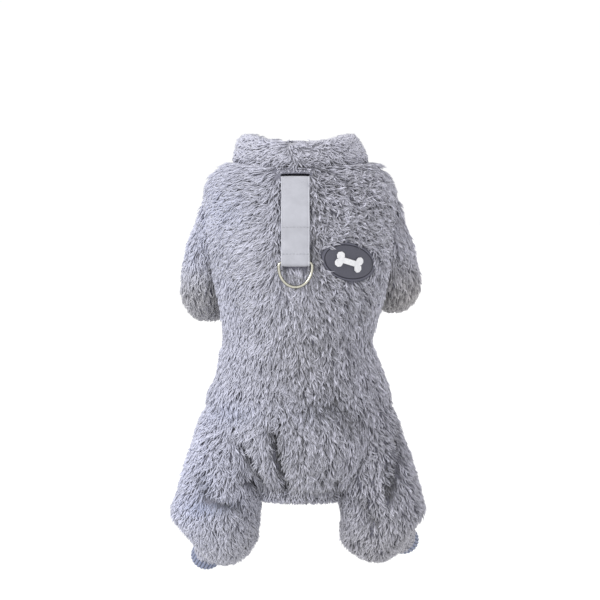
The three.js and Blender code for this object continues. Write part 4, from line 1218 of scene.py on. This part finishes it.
class LeadTape(bpy.types.Operator):
    """The webbing strap out of the slit, down the back, round the ring's bar and up behind itself"""
    bl_idname = "suit.lead_tape"
    bl_label = "Lead strap"

    def execute(self, context):
        half, thick = STRAP_WIDTH / 2, STRAP_THICKNESS / 2
        slit, out = (v[0] for v in torso_under([STRAP_OFFSET], [-SLIT_DOWN]))
        up = np.cross(out, RIGHTWARD)
        inside = [slit - up * 1.7 - out * d for d in (6.0, 4.0, 2.2, 0.5)]
        z = np.linspace(-10.2, -RING_DOWN, 34)
        cloth, normals = torso_under(STRAP_OFFSET, z)
        settle = np.clip((-10.2 - z) / 12, 0, 1)
        lift = 0.35 + 1.65 * settle * settle * (3 - 2 * settle) + by_bar(z)
        front = cloth + normals * (lift + thick)[:, None]
        turn = np.linspace(0.25, math.pi - 0.2, 9)
        fold = ring_centre() + 2.1 * np.stack([0 * turn, -np.cos(turn), -np.sin(turn)], -1)
        cloth, normals = torso_under(STRAP_OFFSET, np.linspace(-RING_DOWN + 1.0, STRAP_TAIL, 16))
        path, way = resampled(np.concatenate([inside, front[:-1], fold, cloth + normals]), 190)
        path[:, 0] = STRAP_OFFSET
        rows = [path[np.argmin(np.abs(path[:120, 2] - height)), 2] for height in STITCH_ROWS]
        self.weave(path, way, half, thick, rows)
        self.stitch(rows)
        return {"FINISHED"}

    def weave(self, path, way, half, thick, rows):
        """The flat section, wide = half * cos^0.55 and high = thick * sin^0.35, thinned beside its selvedges
        and at its rows of stitches, and carried along the path."""
        corner = around(64)
        wide = half * squared(np.cos(corner), 0.55)
        edge = np.abs(wide) / half
        high = thick * squared(np.sin(corner), 0.35)
        high = high * (1 - 0.3 * hump(edge, 0.87, 0.035) + 0.12 * hump(edge, 0.95, 0.04))
        dent = sum(0.1 * hump(path[:, 2], row, 0.7) for row in rows)
        wobble = 0.12 * np.sin(way / 5.3)[:, None] + 0.08 * np.sin(way / 2.1 + 1)[:, None]
        across = wide + wobble * np.sign(wide) * edge**4
        over = np.cross(unit(np.gradient(path, axis=0)), RIGHTWARD)
        rings = path[:, None] + across[..., None] * RIGHTWARD
        rings = rings + (high * (1 - dent[:, None]))[..., None] * over[:, None]
        mesh = plug_mesh("lead_tape", rings)
        give(mesh, "way", np.append(np.repeat(way, len(corner)), [0, 0]))
        give(mesh, "over", np.append(np.tile(wide, len(path)), [0, 0]))
        piece_of(mesh, "woven_tape", replaces=("lead_strap",))

    def stitch(self, rows):
        """Rows of stitches across the strap."""
        x = np.linspace(-8.4, 8.4, 8)[:, None]
        centres = []
        for row in rows:
            cloth, normal = torso_under([STRAP_OFFSET], [row])
            centres.append(cloth + normal * (2.0 + by_bar(row) + STRAP_THICKNESS) + x * RIGHTWARD)
        centres = np.concatenate(centres)
        ways, ups = np.tile(RIGHTWARD, (len(centres), 1)), np.tile([0.0, -1.0, 0], (len(centres), 1))
        piece_of(stitch_mesh("lead_tape_stitches", centres, ways, ups, 1.9, 0.28), "thread")


class LeadRing(bpy.types.Operator):
    """The D-ring of bent wire, its bar in the strap's fold"""
    bl_idname = "suit.lead_ring"
    bl_label = "Lead ring"

    def execute(self, context):
        start = RING_HALF - RING_CORNER
        bend = np.linspace(0, math.pi / 2, 7)[1:-1]
        bow = np.linspace(0, math.pi / 2, 12)[1:]
        deep = RING_DROP - RING_CORNER - 0.6
        bar = [(0, 0), (4.5, 0), (start, 0)]
        corner = [(start + RING_CORNER * math.sin(a), -RING_CORNER * (1 - math.cos(a))) for a in bend]
        arc = [(RING_HALF * math.cos(a), -RING_CORNER - 0.6 - deep * math.sin(a)) for a in bow]
        right = np.array(bar + corner + [(RING_HALF, -RING_CORNER)] + arc)
        loop = np.concatenate([right, (right * [-1, 1])[::-1][1:-1]])
        closed = np.concatenate([loop[-3:], loop, loop[:4]])
        t = np.linspace(3, 3 + len(loop), 221)[:-1]
        x, z = (smooth(column, t) for column in closed.T)
        path = np.stack([STRAP_OFFSET + x, 0 * x, z], -1) + ring_centre() * [0, 1, 1]
        aft = np.array([0, 1.0, 0])
        over = np.cross(unit(np.roll(path, -1, 0) - np.roll(path, 1, 0)), aft)
        turn = around(18)[:, None]
        rings = path[:, None] + RING_WIRE / 2 * (np.cos(turn) * over[:, None] + np.sin(turn) * aft)
        wire = tube_mesh("ring_wire", rings)
        piece_of(wire, "ring_nickel", body="ring", replaces=("lead_ring",))
        return {"FINISHED"}


class Badge(bpy.types.Operator):
    """The moulded oval badge with a groove inside its rim, and the finish of the bone raised on it"""
    bl_idname = "suit.badge"
    bl_label = "Badge"

    def execute(self, context):
        face, edge = np.linspace(0.02, 0.8, 22), np.linspace(0.815, 0.985, 26)
        share = np.concatenate([face, edge, [0.995, 1.0, 1.0, 0.99]])
        height = BADGE_THICKNESS - 0.7 * hump(share, BADGE_GROOVE, 0.02)
        height += 0.16 * hump(share, BADGE_RIM, 0.035)
        height -= 0.9 * (np.maximum(share - 0.97, 0) / 0.03) ** 2
        height[-3:] = [0.2, -0.4, -0.5]
        s, turn = np.meshgrid(share, around(120), indexing="ij")
        along = s * BADGE_SIZE[0] / 2 * np.cos(turn)
        up = s * BADGE_SIZE[1] / 2 * np.sin(turn)
        x = BADGE_CENTRE[0] + along * math.cos(BADGE_TILT) - up * math.sin(BADGE_TILT)
        z = BADGE_CENTRE[1] + along * math.sin(BADGE_TILT) + up * math.cos(BADGE_TILT)
        cloth, normals = torso_under(x, z)
        mesh = plug_mesh("badge_moulding", cloth + normals * height[:, None, None])
        give(mesh, "share", np.append(np.repeat(share, 120), [0, 1]))
        piece_of(mesh, "badge_slate", replaces=("badge",))
        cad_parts["badge_bone"].material_slots[0].material = finish("badge_relief")
        return {"FINISHED"}


class BellyStrip(bpy.types.Operator):
    """The plain strip that covers the belly's closure, with a row of stitches along each edge"""
    bl_idname = "suit.belly_strip"
    bl_label = "Belly strip"

    def execute(self, context):
        low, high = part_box("belly_placket")
        z = np.linspace(high.z / MM - 0.3, low.z / MM + 0.3, 120)
        sin = np.sin(around(36))
        x = STRIP_HALF * squared(np.cos(around(36)), 0.6)
        over = 1.3 + squared(sin, 0.4) - 0.3 * hump(np.abs(x), STRIP_SEAM, 0.5) * (sin > 0)
        zz, xx = np.meshgrid(z, x, indexing="ij")
        cloth, normals = torso_under(xx, zz, 1)
        puckers = 0.18 * np.sin(zz / STRIP_STITCH) * (np.abs(xx) > 5)
        rings = cloth + normals * (over + puckers)[..., None]
        piece = piece_of(plug_mesh("belly_strip", rings), "strip_cloth", replaces=("belly_placket",))
        down, lines = np.arange(z[0] - 2, z[-1] + 2, -STRIP_STITCH), [-STRIP_SEAM, STRIP_SEAM]
        zs, xs = (grid.ravel() for grid in np.meshgrid(down, lines, indexing="ij"))
        cloth, normals = torso_under(xs, zs, 1)
        ways = unit(torso_under(xs, zs - 0.5, 1)[0] - cloth)
        stitches = stitch_mesh("belly_stitches", cloth + normals * 2.1, ways, normals, 2.3, 0.25)
        piece_of(stitches, "thread")
        return {"FINISHED"}


class Stage(bpy.types.Operator):
    """The pale floor, the soft studio light and the camera"""
    bl_idname = "suit.stage"
    bl_label = "Stage"

    def execute(self, context):
        scene = context.scene
        scene.view_settings.view_transform = "Standard"
        scene.world = bpy.data.worlds.new("studio")
        scene.world.use_nodes = True
        background = scene.world.node_tree.nodes["Background"].inputs
        background["Color"].default_value = (1, 1, 1, 1)
        background["Strength"].default_value = WORLD_LIGHT
        u, v = np.meshgrid(np.linspace(0, 1, 40)[1:] * FLOOR_RADIUS, around(64), indexing="ij")
        disc = np.stack([u * np.cos(v), u * np.sin(v), 0 * u - FLOOR_DOWN], -1)
        floor = linked(mesh_of("floor", disc.reshape(-1, 3), grid_faces(39, 64, False)[:, ::-1]))
        floor.data.materials.append(finish("pale_floor"))
        sun = bpy.data.lights.new("key", "SUN")
        sun.angle = math.radians(SUN_WIDTH)
        sun.energy = SUN_LIGHT
        lamp = bpy.data.objects.new("key", sun)
        lamp.location = SUN_PLACE
        x, y, z = SUN_PLACE
        lamp.rotation_euler = (math.acos(z / math.hypot(x, y, z)), 0, math.atan2(-y, -x) - math.pi / 2)
        camera = bpy.data.cameras.new("camera")
        camera.sensor_width = 36
        camera.lens = camera.sensor_width * VIEW_AWAY / VIEW_WIDTH
        camera.clip_end = 50
        eye = bpy.data.objects.new("camera", camera)
        tilt = math.radians(VIEW_TILT)
        eye.location = (0, -VIEW_AWAY * math.cos(tilt), VIEW_MIDDLE + VIEW_AWAY * math.sin(tilt))
        eye.rotation_euler = (math.pi / 2 - tilt, 0, 0)
        for thing in (lamp, eye):
            scene.collection.objects.link(thing)
        scene.camera = eye
        return {"FINISHED"}


OPERATORS = (Stage, BodyCloth, LimbCloth, BodyPile, LimbPile, Collar, Hem, Cuffs, LeadTape, LeadRing, Badge,
             BellyStrip)


class SuitPanel(bpy.types.Panel):
    """Lists the steps that make the jumpsuit"""
    bl_idname = "VIEW3D_PT_suit"
    bl_label = "Jumpsuit"
    bl_space_type = "VIEW_3D"
    bl_region_type = "UI"
    bl_category = "Jumpsuit"

    def draw(self, context):
        for group in (context.scene.suit_sizes, context.scene.suit_colours):
            for key in group.bl_rna.properties.keys():
                if key not in ("rna_type", "name"):
                    self.layout.prop(group, key)
        for step in OPERATORS:
            self.layout.operator(step.bl_idname)


CLASSES = (SuitSizes, SuitColours, *OPERATORS, SuitPanel)


def register():
    """Makes the classes known, and gives the scene its sizes and colours."""
    for cls in CLASSES:
        bpy.utils.register_class(cls)
    bpy.types.Scene.suit_sizes = bpy.props.PointerProperty(type=SuitSizes)
    bpy.types.Scene.suit_colours = bpy.props.PointerProperty(type=SuitColours)


def unregister():
    """Undoes register."""
    del bpy.types.Scene.suit_colours
    del bpy.types.Scene.suit_sizes
    for cls in reversed(CLASSES):
        bpy.utils.unregister_class(cls)


def main():
    """Makes every piece and the stage in order."""
    register()
    for step in OPERATORS:
        group, name = step.bl_idname.split(".")
        getattr(getattr(bpy.ops, group), name)()


if __name__ == "__main__":
    main()
